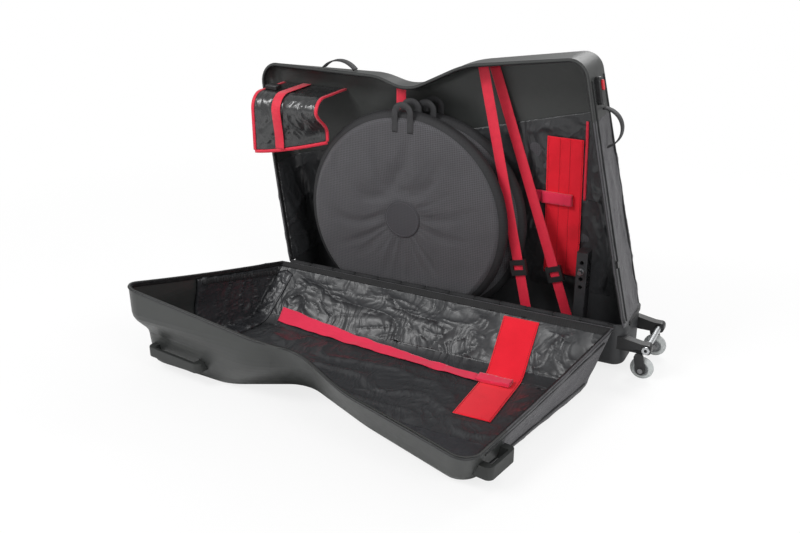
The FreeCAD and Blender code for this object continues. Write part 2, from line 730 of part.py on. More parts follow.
def arm(y, outward):
    """Flat arm from the bracket's side down to the axle."""
    inner = y + outward * size.bracket_width / 2
    low = min(inner, inner + outward * size.arm_thickness)
    top = Vector(size.arm_top_x, low, size.arm_top_z)
    foot = Vector(size.wheel_x, low, size.wheel_radius)
    along = Vector(0, 1, 0)
    across = (foot - top).cross(along).normalize() * (size.arm_width / 2)
    ends = [top - across, top + across, foot + across, foot - across]
    plate = Part.Face(Part.makePolygon(ends + ends[:1])).extrude(along * size.arm_thickness)
    for middle in (top, foot):
        plate = plate.fuse(Part.makeCylinder(size.arm_width / 2, size.arm_thickness, middle, along))
    bore = Part.makeCylinder(size.axle_radius, size.arm_thickness, foot, along)
    return plate.removeSplitter().cut(bore)


def axle(y, outward):
    """Shoulder bolt through the arm and the wheel, with a head outside and a nut inside."""
    along = Vector(0, outward, 0)
    inner = Vector(size.wheel_x, y - outward * (size.wheel_width / 2 + size.wheel_clearance), size.wheel_radius)
    outer = Vector(size.wheel_x, y + outward * (size.bracket_width / 2 + size.arm_thickness), size.wheel_radius)
    head = Part.makeCylinder(size.axle_head_radius, size.axle_head_height, outer, along)
    nut = Part.makeCylinder(size.axle_head_radius, size.axle_head_height, inner, along * -1)
    shaft = Part.makeCylinder(size.axle_radius, (outer - inner).Length, inner, along)
    return shaft.fuse(head).fuse(nut).removeSplitter()


piece("wheel_arms", Part.makeCompound([arm(y.value, out) for _, y, out in WHEEL_SIDES]))
piece("wheel_axles", Part.makeCompound([axle(y.value, out) for _, y, out in WHEEL_SIDES]))


def turned_body(name, corners, y):
    """Wheel piece turned about its axle from corners given as radius and width."""
    body = new_body(name)
    sketch = new_sketch(body, "XY_Plane", name + "_section")
    polygon(sketch, corners)
    revolution(body, sketch)
    place(body, cell.wheel_x, y, cell.wheel_radius)
    return body


def wheel(side, y):
    """Skate wheel: cast tyre on a spoked-core hub with two ball bearings."""
    half = cell.wheel_width / 2
    tread = cell.tread_round
    bevel = tread / 3
    keep(side + "_wheel_tyre", turned_body(side + "_tyre", [
        (cell.hub_radius, -half), (cell.wheel_radius - tread, -half),
        (cell.wheel_radius - bevel, -half + tread - bevel), (cell.wheel_radius, -half + tread),
        (cell.wheel_radius, half - tread), (cell.wheel_radius - bevel, half - tread + bevel),
        (cell.wheel_radius - tread, half), (cell.hub_radius, half)], y))
    rim = cell.hub_radius - bevel
    deep = cell.bearing_width
    keep(side + "_wheel_hub", turned_body(side + "_hub", [
        (cell.hub_bore, -half), (cell.hub_bore + bevel, -half), (cell.hub_bore + bevel, -half + deep),
        (rim, -half + deep), (rim, -half), (cell.hub_radius, -half), (cell.hub_radius, half), (rim, half),
        (rim, half - deep), (cell.hub_bore + bevel, half - deep), (cell.hub_bore + bevel, half),
        (cell.hub_bore, half)], y))
    bore = cell.axle_radius + cell.running_clearance
    races = []
    for end, low in (("outer", -half), ("inner", half - cell.bearing_width)):
        races.append(turned_body(f"{side}_{end}_bearing", [
            (bore, low), (cell.hub_bore, low), (cell.hub_bore, low + cell.bearing_width),
            (bore, low + cell.bearing_width)], y))
    group(side + "_wheel_bearings", races)


for side, y, _ in WHEEL_SIDES:
    wheel(side, y)

# Stand for the frame's rear end: rail on the tub's floor, sliding foot, bored tower and axle adapter

RAIL_TOP = cell.rail_base_height + cell.rail_web_height + cell.rail_flange_height
FLOOR_CELL = cell.tub_bottom_z + cell.tub_wall


def rail():
    """T rail, an extrusion along the tub."""
    body = new_body("rail_extrusion")
    sketch = new_sketch(body, "YZ_Plane", "rail_section")
    base = cell.rail_base_width / 2
    web = cell.rail_web_width / 2
    flange = cell.rail_flange_width / 2
    low = cell.rail_base_height
    high = low + cell.rail_web_height
    half = [(base, ZERO), (base, low), (web, low), (web, high), (flange, high), (flange, RAIL_TOP)]
    polygon(sketch, half + [(-u, v) for u, v in reversed(half)])
    pad(body, sketch, cell.rail_right_x - cell.rail_left_x)
    place(body, cell.rail_left_x, cell.rail_y, FLOOR_CELL)
    return body


keep("stand_rail", rail())
FOOT_LOW = cell.rail_base_height + cell.slide_clearance
FOOT_HIGH = FOOT_LOW + cell.foot_height
TOWER_HIGH = cell.tower_top_z - FLOOR_CELL


def tower_foot():
    """Foot that grips the rail's flange and carries the tower."""
    body = new_body("tower_shoe")
    sketch = new_sketch(body, "XY_Plane", "shoe_plan", FOOT_LOW)
    wide = cell.foot_width / 2
    deep = cell.foot_depth / 2
    rectangle(sketch, -wide, -deep, wide, deep)
    block = pad(body, sketch, cell.foot_height)
    dress(body, block, "PartDesign::Chamfer", "Size", cell.foot_chamfer,
          lambda edge: edge.BoundBox.ZMin > FOOT_HIGH.value - size.seat_gap)
    groove = new_sketch(body, "YZ_Plane", "shoe_groove")
    slack = cell.slide_clearance
    web = cell.rail_web_width / 2 + slack
    flange = cell.rail_flange_width / 2 + slack
    ledge = cell.rail_base_height + cell.rail_web_height - slack
    half = [(web, ZERO), (web, ledge), (flange, ledge), (flange, RAIL_TOP + slack)]
    polygon(groove, half + [(-u, v) for u, v in reversed(half)])
    pocket(body, groove, cell.foot_width * 2, middle=True)
    place(body, cell.tower_x, cell.rail_y, FLOOR_CELL)
    return body


BORES = 4
ADAPTER_BORE = 1


def bore_z(index):
    """Height of an axle bore above the tub's floor, counted from the top."""
    return TOWER_HIGH - cell.axle_bore_top - cell.axle_bore_pitch * index


def tower():
    """Post with a row of axle bores through it and a recess beside each on both flanks."""
    body = new_body("tower_post")
    sketch = new_sketch(body, "XY_Plane", "post_plan", FOOT_HIGH)
    wide = cell.tower_width / 2
    deep = cell.tower_depth / 2
    rectangle(sketch, -wide, -deep, wide, deep)
    block = pad(body, sketch, TOWER_HIGH - FOOT_HIGH)
    dress(body, block, "PartDesign::Fillet", "Radius", cell.tower_round,
          lambda edge: runs_along(edge, Vector(0, 0, 1)))
    bores = new_sketch(body, "XZ_Plane", "post_bores")
    for index in range(BORES):
        circle(bores, ZERO, bore_z(index), cell.axle_bore_radius)
    pocket(body, bores, cell.tower_depth * 2, middle=True)
    for flank in (-1, 1):
        recesses = new_sketch(body, "YZ_Plane", "post_recesses" + ("_left" if flank < 0 else "_right"),
                              (wide - cell.recess_depth) * flank)
        for index in range(BORES):
            rectangle(recesses, -cell.recess_width / 2, bore_z(index) - cell.recess_height / 2,
                      cell.recess_width / 2, bore_z(index) + cell.recess_height / 2)
        pocket(body, recesses, cell.recess_depth * 2, turned=flank > 0)
    place(body, cell.tower_x, cell.rail_y, FLOOR_CELL)
    return body


keep("tower_foot", tower_foot())
keep("dropout_tower", tower())


def adapter():
    """Turned axle stub in one of the tower's bores."""
    front = cell.rail_y - cell.tower_depth / 2
    height = FLOOR_CELL + bore_z(ADAPTER_BORE)
    length = cell.tower_depth + cell.adapter_flange + cell.adapter_nose
    stub = rod_y("adapter_stub", cell.adapter_radius, length, cell.tower_x,
                 front - cell.adapter_flange - cell.adapter_nose, height)
    flange = rod_y("adapter_flange", cell.adapter_flange_radius, cell.adapter_flange, cell.tower_x,
                   front - cell.adapter_flange, height)
    joined = doc.addObject("Part::Fuse", "adapter_turned")
    joined.Base = stub
    joined.Tool = flange
    return joined


keep("axle_adapter", adapter())

# Straps inside the back half

CEILING = back_inside(size.wall + size.seat_gap)


def hanging_strap(y, foot, head_x, foot_cut):
    """Flat strap from a foot point up to the underside of the top shell."""
    head = Vector(head_x, 0, size.tie_head_z)
    along = (head - foot).normalize()
    across = Vector(along.z, 0, -along.x) * (size.strap_width / 2)
    low = foot - along * size.overrun
    high = head + along * size.overrun * 2
    corners = [low - across, low + across, high + across, high - across]
    strip = prism([(p.x, p.z) for p in corners], y - size.strap_thickness / 2, y + size.strap_thickness / 2)
    upper = strip.common(CEILING).common(ABOVE_TUB)
    lower = strip.common(upright_box(-FAR, foot_cut, FAR, size.hinge_z))
    if foot_cut >= size.hinge_z:
        return upper.common(upright_box(-FAR, foot_cut, FAR, FAR))
    return upper.fuse(lower).removeSplitter()


def ladder_buckle(y, foot, head_x, height):
    """Strap buckle: a frame that the strap runs up through, with a thumb window in front."""
    head = Vector(head_x, 0, size.tie_head_z)
    along = (head - foot).normalize()
    across = Vector(along.z, 0, -along.x)
    middle = foot + along * ((height - foot.z) / along.z)

    def plate(wide, tall, low_y, high_y):
        corners = [middle + across * (a * wide / 2) + along * (b * tall / 2)
                   for a, b in ((-1, -1), (1, -1), (1, 1), (-1, 1))]
        return prism([(p.x, p.z) for p in corners], low_y, high_y)

    half = size.buckle_depth / 2
    slot = size.strap_thickness / 2 + size.seat_gap
    wide_slot = size.strap_width + size.seat_gap * 2
    frame = plate(size.buckle_width, size.buckle_height, y - half, y + half)
    frame = frame.cut(plate(wide_slot, size.buckle_height * 2, y - slot, y + slot))
    return frame.cut(plate(size.strap_width, size.buckle_height / 3, y - half - slot, y))


TIE_FOOT = TUB_FLOOR + size.seat_gap
TIES = (
    ("tie_strap_front", size.tie_front_y, size.tie_front_foot_x, size.tie_front_head_x, size.buckle_front_z),
    ("tie_strap_rear", size.tie_rear_y, size.tie_rear_foot_x, size.tie_rear_head_x, size.buckle_rear_z),
)
buckles = []
for name, y, foot_x, head_x, height in TIES:
    foot = Vector(foot_x, 0, TUB_FLOOR)
    piece(name, hanging_strap(y, foot, head_x, TIE_FOOT))
    buckles.append(ladder_buckle(y, foot, head_x, height))
piece("tie_buckles", Part.makeCompound(buckles))
piece("top_tie_strap", hanging_strap(size.top_strap_y, Vector(size.top_strap_x, 0, TUB_FLOOR),
                                     size.top_strap_x, size.top_strap_low_z))

# Hook and loop bands with their cinch straps, on the back wall and in the lid


def cinch(layer, region, fold_region, band_region):
    """Narrow strap that runs to the band and folds back over it."""
    flat = layer(LINED, BANDED).common(region).cut(band_region)
    fold = layer(BANDED, BANDED + size.cinch_fold).common(fold_region)
    return flat.fuse(fold).removeSplitter()


back_band_zone = upright_box(size.back_band_x, size.back_band_low_z, size.back_band_x + size.band_width,
                             size.back_band_high_z)
wall_only = upright_box(size.cinch_left_x, size.back_band_low_z, size.back_band_x + size.band_width,
                        size.back_band_high_z)
piece("back_hook_band", back_layer(LINED, BANDED).common(back_band_zone))
low = size.cinch_z - size.cinch_width / 2
high = size.cinch_z + size.cinch_width / 2
fold_x = size.back_band_x - size.cinch_fold
piece("back_cinch_strap", cinch(
    back_layer, upright_box(size.cinch_left_x, low, size.back_band_x, high),
    upright_box(fold_x, low, fold_x + size.cinch_fold_length, high), back_band_zone))

lid_band_zone = upright_box(size.lid_band_x, size.lid_band_low_z, size.lid_band_x + size.band_width,
                            size.lid_band_high_z)
lid_piece("lid_hook_band", lid_layer(LINED, BANDED).common(lid_band_zone))
half = size.cinch_width / 2
fold_x = size.lid_band_x - size.cinch_fold
fold_end = fold_x + size.lid_cinch_fold_length
lid_piece("lid_cinch_strap", cinch(
    lid_layer,
    prism([(size.lid_cinch_left_x, size.lid_cinch_left_z - half), (size.lid_band_x, size.lid_cinch_right_z - half),
           (size.lid_band_x, size.lid_cinch_right_z + half), (size.lid_cinch_left_x, size.lid_cinch_left_z + half)]),
    upright_box(fold_x, size.lid_cinch_right_z - half, fold_end, size.lid_cinch_right_z + half),
    lid_band_zone))

# Lid pockets

POCKETED = LINED + size.pocket_depth
pocket_zone = upright_box(size.pocket_left_x, size.pocket_low_z, size.pocket_right_x, FAR + FAR)
lid_piece("lid_pocket", lid_layer(LINED, POCKETED).common(pocket_zone).cut(tape_lid))
side_zone = end_zone(-1).common(upright_box(-FAR, size.side_pocket_low_z, 0, size.side_pocket_high_z))
lid_piece("lid_side_pocket", lid_layer(LINED, POCKETED).common(side_zone).cut(tape_lid))


# Grips on the lid's walls


def grip(start, end, stand, bar, foot, bend, low_y, high_y):
    """Bow handle along a line of x and z, seated on the lid's wall, with a finger gap under its bar."""
    along = (end - start).normalize()
    out = Vector(along.z, 0, -along.x)
    deep = size.overrun

    def strip(near, far, rise_low, rise_high):
        corners = [start + along * near + out * rise_low, start + along * far + out * rise_low,
                   start + along * far + out * rise_high, start + along * near + out * rise_high]
        return prism([(p.x, p.z) for p in corners], low_y, high_y)

    length = (end - start).Length
    bow = strip(0, length, -deep, stand)
    bow = bow.cut(strip(foot, length - foot, -deep, stand - bar))
    rounds = [edge for edge in bow.Edges if runs_along(edge, Vector(0, 1, 0))
              and max((vertex.Point - start).dot(out) for vertex in edge.Vertexes) > stand - size.seat_gap]
    bow = bow.makeFillet(bend, rounds)
    return bow.cut(lid_inside(0))


def wall_line(y, first, second):
    """Points where the lid's outline turns two corners at one depth."""
    section = lid_section(y)
    return Vector(section[first][0], 0, section[first][1]), Vector(section[second][0], 0, section[second][1])


grip_high = size.grip_y + size.grip_width / 2
knee, shoulder = wall_line(grip_high, KNEE_LEFT, SHOULDER_LEFT)


def on_line(start, end, x):
    return start + (end - start) * ((x - start.x) / (end.x - start.x))


def on_rise(start, end, z):
    return start + (end - start) * ((z - start.z) / (end.z - start.z))


lid_piece("lid_front_grip", grip(
    on_line(knee, shoulder, size.grip_right_x), on_line(knee, shoulder, size.grip_left_x),
    size.grip_stand, size.grip_bar, size.grip_foot, size.grip_round,
    size.grip_y - size.grip_width / 2, grip_high))
rear_high = size.rear_grip_y + size.rear_grip_width / 2
foot, shoulder = wall_line(rear_high, FOOT_RIGHT, SHOULDER_RIGHT)
lid_piece("lid_rear_grip", grip(
    on_rise(foot, shoulder, size.rear_grip_low_z), on_rise(foot, shoulder, size.rear_grip_high_z),
    size.rear_grip_stand, size.rear_grip_bar, size.rear_grip_foot, size.rear_grip_round,
    size.rear_grip_y - size.rear_grip_width / 2, rear_high))

# Zip sliders: one on the lid pocket's zip, one on the outside of the main zip


def slider_zone(middle, along, low_y, high_y):
    """Slab across a wall, one slider long."""
    out = Vector(along.z, 0, -along.x)
    corners = []
    for a, b in ((-1, -1), (1, -1), (1, 1), (-1, 1)):
        corners.append(middle + along * (a * size.slider_length / 2) + out * (b * size.overrun))
    return prism([(p.x, p.z) for p in corners], low_y, high_y)


shoulder, knee = wall_line(size.pocket_slider_y, SHOULDER_RIGHT, KNEE_RIGHT)
pocket_run = (knee - shoulder).normalize()
slider_depth = POCKETED + size.slider_gap
pocket_slab = slider_zone(on_line(shoulder, knee, size.pocket_slider_x), pocket_run,
                          size.pocket_slider_y - size.slider_width / 2, size.pocket_slider_y + size.slider_width / 2)
lid_piece("pocket_zip_slider", lid_layer(slider_depth, slider_depth + size.slider_height).common(pocket_slab))

back_foot = Vector(size.foot_right_x, 0, size.hinge_z)
back_head = Vector(size.shoulder_right_x, 0, size.shoulder_right_z)
END_UP = (back_head - back_foot).normalize()
END_OUT = Vector(END_UP.z, 0, -END_UP.x)
main_middle = on_rise(back_foot, back_head, size.main_slider_z)
main_y = parting_y(main_middle.x, main_middle.z) + size.slider_edge
low = main_middle - END_UP * (size.slider_length / 2) + END_OUT * size.seat_gap
corners = [low, low + END_UP * size.slider_length, low + END_UP * size.slider_length + END_OUT * size.slider_height,
           low + END_OUT * size.slider_height]
piece("main_zip_slider", prism([(p.x, p.z) for p in corners], main_y, main_y + size.slider_width))

# Carry handles and lock on the back half


def arch(length, rise, thickness, width):
    """Webbing bow along local X that rises along local Z, with its ends run down past its seat."""
    half = length / 2
    outer = [Vector(-half, 0, -size.handle_root), Vector(0, 0, rise), Vector(half, 0, -size.handle_root)]
    inner = [Vector(half - thickness, 0, -size.handle_root), Vector(0, 0, rise - thickness),
             Vector(thickness - half, 0, -size.handle_root)]
    edges = [Part.Arc(*outer).toShape(), Part.LineSegment(outer[2], inner[0]).toShape(),
             Part.Arc(*inner).toShape(), Part.LineSegment(inner[2], outer[0]).toShape()]
    band = Part.Face(Part.Wire(edges)).extrude(Vector(0, width, 0))
    band.translate(Vector(0, -width / 2, 0))
    return band


def seated_on_end(shape, z, y):
    """Turn a shape drawn on local X and Z onto the right end wall."""
    point = on_rise(back_foot, back_head, z)
    turn = Rotation(END_UP, Vector(0, -1, 0), END_OUT, "ZXY")
    turned = shape.copy()
    turned.Placement = Placement(Vector(point.x, y, point.z), turn).multiply(turned.Placement)
    return turned


top_bow = arch(size.top_handle_length, size.top_handle_rise, size.handle_thickness, size.handle_width)
left_top = Vector(size.shoulder_left_x, 0, size.shoulder_left_z)
knee_top = Vector(size.knee_left_x, 0, size.knee_left_z)
top_point = on_line(left_top, knee_top, size.top_handle_x)
top_bow.translate(Vector(top_point.x, size.top_handle_y, top_point.z))
piece("top_handle", top_bow.cut(back_inside(0)))
tail_bow = arch(size.tail_loop_length, size.tail_loop_rise, size.handle_thickness, size.handle_width)
piece("tail_loop_handle", seated_on_end(tail_bow, size.tail_loop_z, size.tail_loop_y).cut(back_inside(0)))


def capsule(length, width, low, high):
    """Flat pill along local X, between two heights."""
    run = (length - width) / 2
    radius = width / 2
    ends = [Part.makeCylinder(radius, high - low, Vector(x, 0, low)) for x in (-run, run)]
    bar_between = Part.makeBox(run * 2, width, high - low, Vector(-run, -radius, low))
    return bar_between.fuse(ends).removeSplitter()


def moved(shape, x):
    shifted = shape.copy()
    shifted.translate(Vector(x, 0, 0))
    return shifted


housing = capsule(size.lock_length, size.lock_width, 0, size.lock_depth)
crown = [edge for edge in housing.Edges if edge.BoundBox.ZMin > size.lock_depth - size.seat_gap]
housing = housing.makeFillet(size.lock_round, crown)
slack = size.button_clearance
floor = size.lock_depth + size.button_proud - size.button_depth - size.button_travel
well = capsule(size.button_length + slack * 2, size.button_width + slack * 2, floor - slack,
               size.lock_depth + size.overrun)
button = capsule(size.button_length, size.button_width, floor + size.button_travel,
                 size.lock_depth + size.button_proud)
piece("lock_housing", seated_on_end(housing.cut(moved(well, size.button_rise)), size.lock_z, size.lock_y))
piece("lock_button", seated_on_end(moved(button, size.button_rise), size.lock_z, size.lock_y))

# Wheel bags

BAG_FACE_SHARE = 0.86
BAG_EDGE_SHARE = 0.45
BAG_FLAT_SHARE = 0.82


def wheel_bag(name, x, y, radius, thickness):
    """Round padded bag, thickest at the hub and drawn in to a piped edge."""
    body = new_body(name + "_round")
    sketch = new_sketch(body, "XY_Plane", name + "_section")
    half = thickness / 2
    flat = radius * BAG_FLAT_SHARE
    edge = radius - half * (1 - BAG_FACE_SHARE)
    side = [(ZERO, half), (flat, half * BAG_FACE_SHARE), (edge, half * BAG_EDGE_SHARE)]
    polygon(sketch, side + [(radius, ZERO)] + [(u, -v) for u, v in reversed(side)])
    revolution(body, sketch)
    place(body, x, y, FLOOR_CELL + cell.seat_gap + radius)
    return keep(name, body)


def bag_handles(name, x, y, radius, thickness, over):
    """A webbing bow sewn to each face of a bag, over its top."""
    centre_z = TUB_FLOOR + size.seat_gap + radius
    root_z = radius - size.bag_handle_root
    flat = radius * BAG_FLAT_SHARE
    half = thickness / 2
    lean = half * (1 - BAG_FACE_SHARE) / flat
    face_y = half - lean * root_z + size.seat_gap
    rise = size.bag_handle_root + over
    spread = size.bag_handle_spread / 2
    wide = size.bag_handle_width

    def bow_face(half_width):
        top = Vector(0, 0, root_z + rise - (spread - half_width))
        level = root_z + rise - spread
        corners = [Vector(-half_width, 0, level), Vector(half_width, 0, level)]
        feet = [Vector(half_width, 0, root_z), Vector(-half_width, 0, root_z)]
        edges = [Part.Arc(corners[0], top, corners[1]).toShape(),
                 Part.LineSegment(corners[1], feet[0]).toShape(),
                 Part.LineSegment(feet[0], feet[1]).toShape(),
                 Part.LineSegment(feet[1], corners[0]).toShape()]
        return Part.Face(Part.Wire(edges))

    loop = bow_face(spread).cut(bow_face(spread - wide))
    bows = []
    for out in (-1, 1):
        bow = loop.extrude(Vector(0, out * size.bag_handle_thickness, 0))
        bow.translate(Vector(x, y + out * face_y, centre_z))
        bows.append(bow)
    return piece(name, Part.makeCompound(bows))


wheel_bag("wheel_bag_front", cell.bag_front_x, cell.bag_front_y, cell.bag_front_radius, cell.bag_front_thickness)
bag_handles("wheel_bag_front_handles", size.bag_front_x, size.bag_front_y, size.bag_front_radius,
            size.bag_front_thickness, size.bag_front_handle_rise)
wheel_bag("wheel_bag_rear", cell.bag_rear_x, cell.bag_rear_y, cell.bag_rear_radius, cell.bag_rear_thickness)
bag_handles("wheel_bag_rear_handles", size.bag_rear_x, size.bag_rear_y, size.bag_rear_radius,
            size.bag_rear_thickness, size.bag_rear_handle_rise)
patch = rod_y("hub_patch", cell.patch_radius, cell.patch_thickness, cell.bag_front_x,
              cell.bag_front_y - cell.bag_front_thickness / 2 - cell.patch_thickness,
              FLOOR_CELL + cell.seat_gap + cell.bag_front_radius)
keep("wheel_bag_front_patch", patch)

# Wrap for the handlebar: a quilted sheet hung over, with bound edges, a strap and a buckle


def wrap_layer(low_offset, high_offset, left, right):
    """Length of the bent sheet between two offsets from its inner face."""
    bend = size.wrap_bend - size.wrap_thickness
    front = size.wrap_front_y + size.wrap_thickness
    centre = Vector(left, front + bend, size.wrap_shoulder_z)
    far_y = size.back_base_y
    slant = math.sqrt(0.5)

    def path(offset):
        radius = bend + offset
        return [Vector(left, front - offset, size.wrap_low_z), Vector(left, front - offset, centre.z),
                centre + Vector(0, -radius * slant, radius * slant), centre + Vector(0, 0, radius),
                Vector(left, far_y, centre.z + radius)]

    out = path(high_offset)
    back = path(low_offset)
    edges = []
    for points in (out, back):
        edges.append(Part.LineSegment(points[0], points[1]).toShape())
        edges.append(Part.Arc(points[1], points[2], points[3]).toShape())
        edges.append(Part.LineSegment(points[3], points[4]).toShape())
    edges.append(Part.LineSegment(out[0], back[0]).toShape())
    edges.append(Part.LineSegment(out[4], back[4]).toShape())
    wire = Part.Wire(Part.__sortEdges__(edges))
    return Part.Face(wire).extrude(Vector(right - left, 0, 0)).common(CEILING)


thick = size.wrap_thickness
proud = size.wrap_binding_proud
piece("bar_wrap", wrap_layer(0, thick, size.wrap_left_x, size.wrap_right_x))
bound_ends = []
for left in (size.wrap_left_x - size.wrap_binding, size.wrap_right_x):
    bound_ends.append(wrap_layer(-proud, thick + proud, left, left + size.wrap_binding))
hem = Part.makeBox(size.wrap_right_x - size.wrap_left_x, thick + proud * 2, size.wrap_binding,
                   Vector(size.wrap_left_x, size.wrap_front_y - proud, size.wrap_low_z - size.wrap_binding))
piece("bar_wrap_binding", Part.makeCompound(bound_ends + [hem]))
half = size.strap_width / 2
piece("bar_wrap_strap", wrap_layer(thick, thick + size.strap_thickness, size.wrap_strap_x - half,
                                   size.wrap_strap_x + half))
wrap_top = size.wrap_shoulder_z + size.wrap_bend
clip = Part.makeBox(size.wrap_buckle_length, size.wrap_buckle_width, size.wrap_buckle_height,
                    Vector(size.wrap_left_x, size.wrap_buckle_y, wrap_top))
clip_edges = [edge for edge in clip.Edges if edge.BoundBox.ZMin > wrap_top + size.seat_gap]
piece("bar_wrap_buckle", clip.makeFillet(size.wrap_buckle_height / 3, clip_edges))

# Check every object and write the pieces

doc.recompute()
for obj in doc.Objects:
    if "Invalid" in obj.State or "Error" in obj.State:
        raise RuntimeError(obj.Name + " failed to build")
for obj in nodes:
    if obj.Shape.isNull() or not obj.Shape.isValid() or not obj.Shape.Solids:
        raise RuntimeError(obj.Label + " has no sound solid")
os.makedirs("parts", exist_ok=True)
for obj in nodes:
    obj.Shape.exportStep(f"parts/{obj.Label}.step")
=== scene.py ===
import math
from functools import partial

import bmesh
import bpy
from mathutils import Matrix, Vector, noise
from mathutils.bvhtree import BVHTree


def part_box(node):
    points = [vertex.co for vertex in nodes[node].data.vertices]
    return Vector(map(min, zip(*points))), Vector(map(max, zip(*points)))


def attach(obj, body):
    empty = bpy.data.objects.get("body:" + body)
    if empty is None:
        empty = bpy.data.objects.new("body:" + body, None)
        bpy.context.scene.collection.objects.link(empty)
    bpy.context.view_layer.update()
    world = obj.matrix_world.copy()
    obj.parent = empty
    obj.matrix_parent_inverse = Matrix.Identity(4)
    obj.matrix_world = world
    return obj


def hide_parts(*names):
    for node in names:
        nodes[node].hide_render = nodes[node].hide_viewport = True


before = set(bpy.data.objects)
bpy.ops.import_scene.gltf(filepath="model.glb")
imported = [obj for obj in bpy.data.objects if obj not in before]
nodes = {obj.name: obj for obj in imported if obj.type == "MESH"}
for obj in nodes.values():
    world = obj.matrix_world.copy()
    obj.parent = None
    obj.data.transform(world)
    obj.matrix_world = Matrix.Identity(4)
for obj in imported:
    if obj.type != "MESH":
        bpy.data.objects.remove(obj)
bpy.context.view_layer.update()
scene = bpy.context.scene

# Tub: one deep moulded tray of tough plastic that carries the whole case, with two skids bonded under
# it. Satin black-grey with a fine moulded grain and cloudy scuffing from airport belts.

MERGE = 0.00002


def srgb(red, green, blue):
    """Colour as it looks, 0 to 255, in the shader's linear numbers."""
    shares = [channel / 255 for channel in (red, green, blue)]
    return (*[s / 12.92 if s <= 0.04045 else ((s + 0.055) / 1.055) ** 2.4 for s in shares], 1.0)


def add(tree, kind, inputs=None, **settings):
    """New node with its settings, and inputs given as values or as sockets to link."""
    made = tree.nodes.new(kind)
    for key, value in settings.items():
        setattr(made, key, value)
    for key, value in (inputs or {}).items():
        if isinstance(value, bpy.types.NodeSocket):
            tree.links.new(value, made.inputs[key])
        else:
            made.inputs[key].default_value = value
    return made


def math_node(tree, operation, first, second=0.0, third=0.0):
    """Result of one sum."""
    return add(tree, "ShaderNodeMath", {0: first, 1: second, 2: third}, operation=operation).outputs[0]


def cloudy(tree, place, scale, detail):
    """Noise at a place, as a value and as a colour."""
    return add(tree, "ShaderNodeTexNoise", {"Vector": place, "Scale": scale, "Detail": detail}).outputs


def sockets(group, way, kind, *labels):
    """Named sockets of one kind on a group's way in or out."""
    for label in labels:
        group.interface.new_socket(label, in_out=way, socket_type="NodeSocket" + kind)


def new_effect(name, places, *sizes):
    """Group behind a finish: places, two colours and sizes in; colour, roughness and height out.

    Gives the group, its way in, and a function for sums inside it.
    """
    group = bpy.data.node_groups.new(name, "ShaderNodeTree")
    sockets(group, "INPUT", "Vector", *places)
    sockets(group, "INPUT", "Color", "Color", "Second Color")
    sockets(group, "INPUT", "Float", "Roughness", *sizes)
    sockets(group, "OUTPUT", "Color", "Color")
    sockets(group, "OUTPUT", "Float", "Roughness", "Height")
    return group, group.nodes.new("NodeGroupInput").outputs, partial(math_node, group)


def ended(group, given, share, cloud, spread, height):
    """Effect with its way out linked: mixed colour, roughness that a cloud varies, and height."""
    out = group.nodes.new("NodeGroupOutput").inputs
    colors = {0: share, 6: given["Color"], 7: given["Second Color"]}
    group.links.new(add(group, "ShaderNodeMix", colors, data_type="RGBA").outputs[2], out["Color"])
    shift = math_node(group, "MULTIPLY_ADD", cloud, spread, -spread / 2)
    group.links.new(math_node(group, "ADD", given["Roughness"], shift), out["Roughness"])
    group.links.new(height, out["Height"])
    return group


def moulded_grain():
    """Cloudy colour and gloss with a fine leathery grain, for moulded plastic."""
    group, given, calc = new_effect("moulded_grain", ["Position"], "Grain Scale")
    cloud = cloudy(group, given["Position"], 9.0, 5.0)[0]
    scuff = cloudy(group, given["Position"], 60.0, 3.0)[0]
    grain = add(group, "ShaderNodeTexVoronoi", {"Vector": given["Position"], "Scale": given["Grain Scale"]})
    return ended(group, given, calc("MULTIPLY", cloud, scuff), scuff, 0.16, grain.outputs[0])


def coated(name, effect, color, second, roughness, sizes, bump, depth, **constants):
    """Material of one effect at the piece's own coordinates, with even values on the shader itself."""
    material = bpy.data.materials.new(name)
    material.use_nodes = True
    tree = material.node_tree
    shader = tree.nodes["Principled BSDF"].inputs
    even = {"Base Color": srgb(*color), "Roughness": roughness, **constants}
    for socket, value in even.items():
        shader[socket.replace("_", " ")].default_value = value
    varied = {"Color": srgb(*color), "Second Color": srgb(*second), "Roughness": roughness, **sizes}
    made = add(tree, "ShaderNodeGroup", varied, node_tree=effect)
    place = add(tree, "ShaderNodeTexCoord").outputs
    for key, source in (("Position", "Object"), ("Normal", "Normal"), ("UV", "UV")):
        if key in made.inputs:
            tree.links.new(place[source], made.inputs[key])
    relief = add(tree, "ShaderNodeBump", {"Strength": bump, "Distance": depth,
                                          "Height": made.outputs["Height"]})
    tree.links.new(made.outputs["Color"], shader["Base Color"])
    tree.links.new(made.outputs["Roughness"], shader["Roughness"])
    tree.links.new(relief.outputs[0], shader["Normal"])
    return material


GRAIN = moulded_grain()


def plastic(name, color, worn, roughness, grain=700.0, bump=0.25, depth=0.0003, **constants):
    """Moulded plastic finish."""
    return coated(name, GRAIN, color, worn, roughness, {"Grain Scale": grain}, bump, depth, **constants)


def paint(material, bevel, *names):
    """Give rigid nodes their finish, with softened edges where they show."""
    for name in names:
        piece = nodes[name]
        piece.data.materials.clear()
        piece.data.materials.append(material)
        if bevel:
            piece.modifiers.new("weld", "WELD").merge_threshold = MERGE
            edge = piece.modifiers.new("edge", "BEVEL")
            edge.width, edge.segments, edge.angle_limit = bevel, 2, math.radians(50)


paint(plastic("tub_plastic", (46, 47, 49), (66, 67, 68), 0.48), None, "base_tub")
paint(plastic("runner_plastic", (30, 30, 31), (52, 52, 53), 0.6), 0.002, "base_runners")

# Edge trim: a rubbery strip pressed over the tub's top edge, where the fabric walls are sewn in. It is
# darker and finer in grain than the tub.

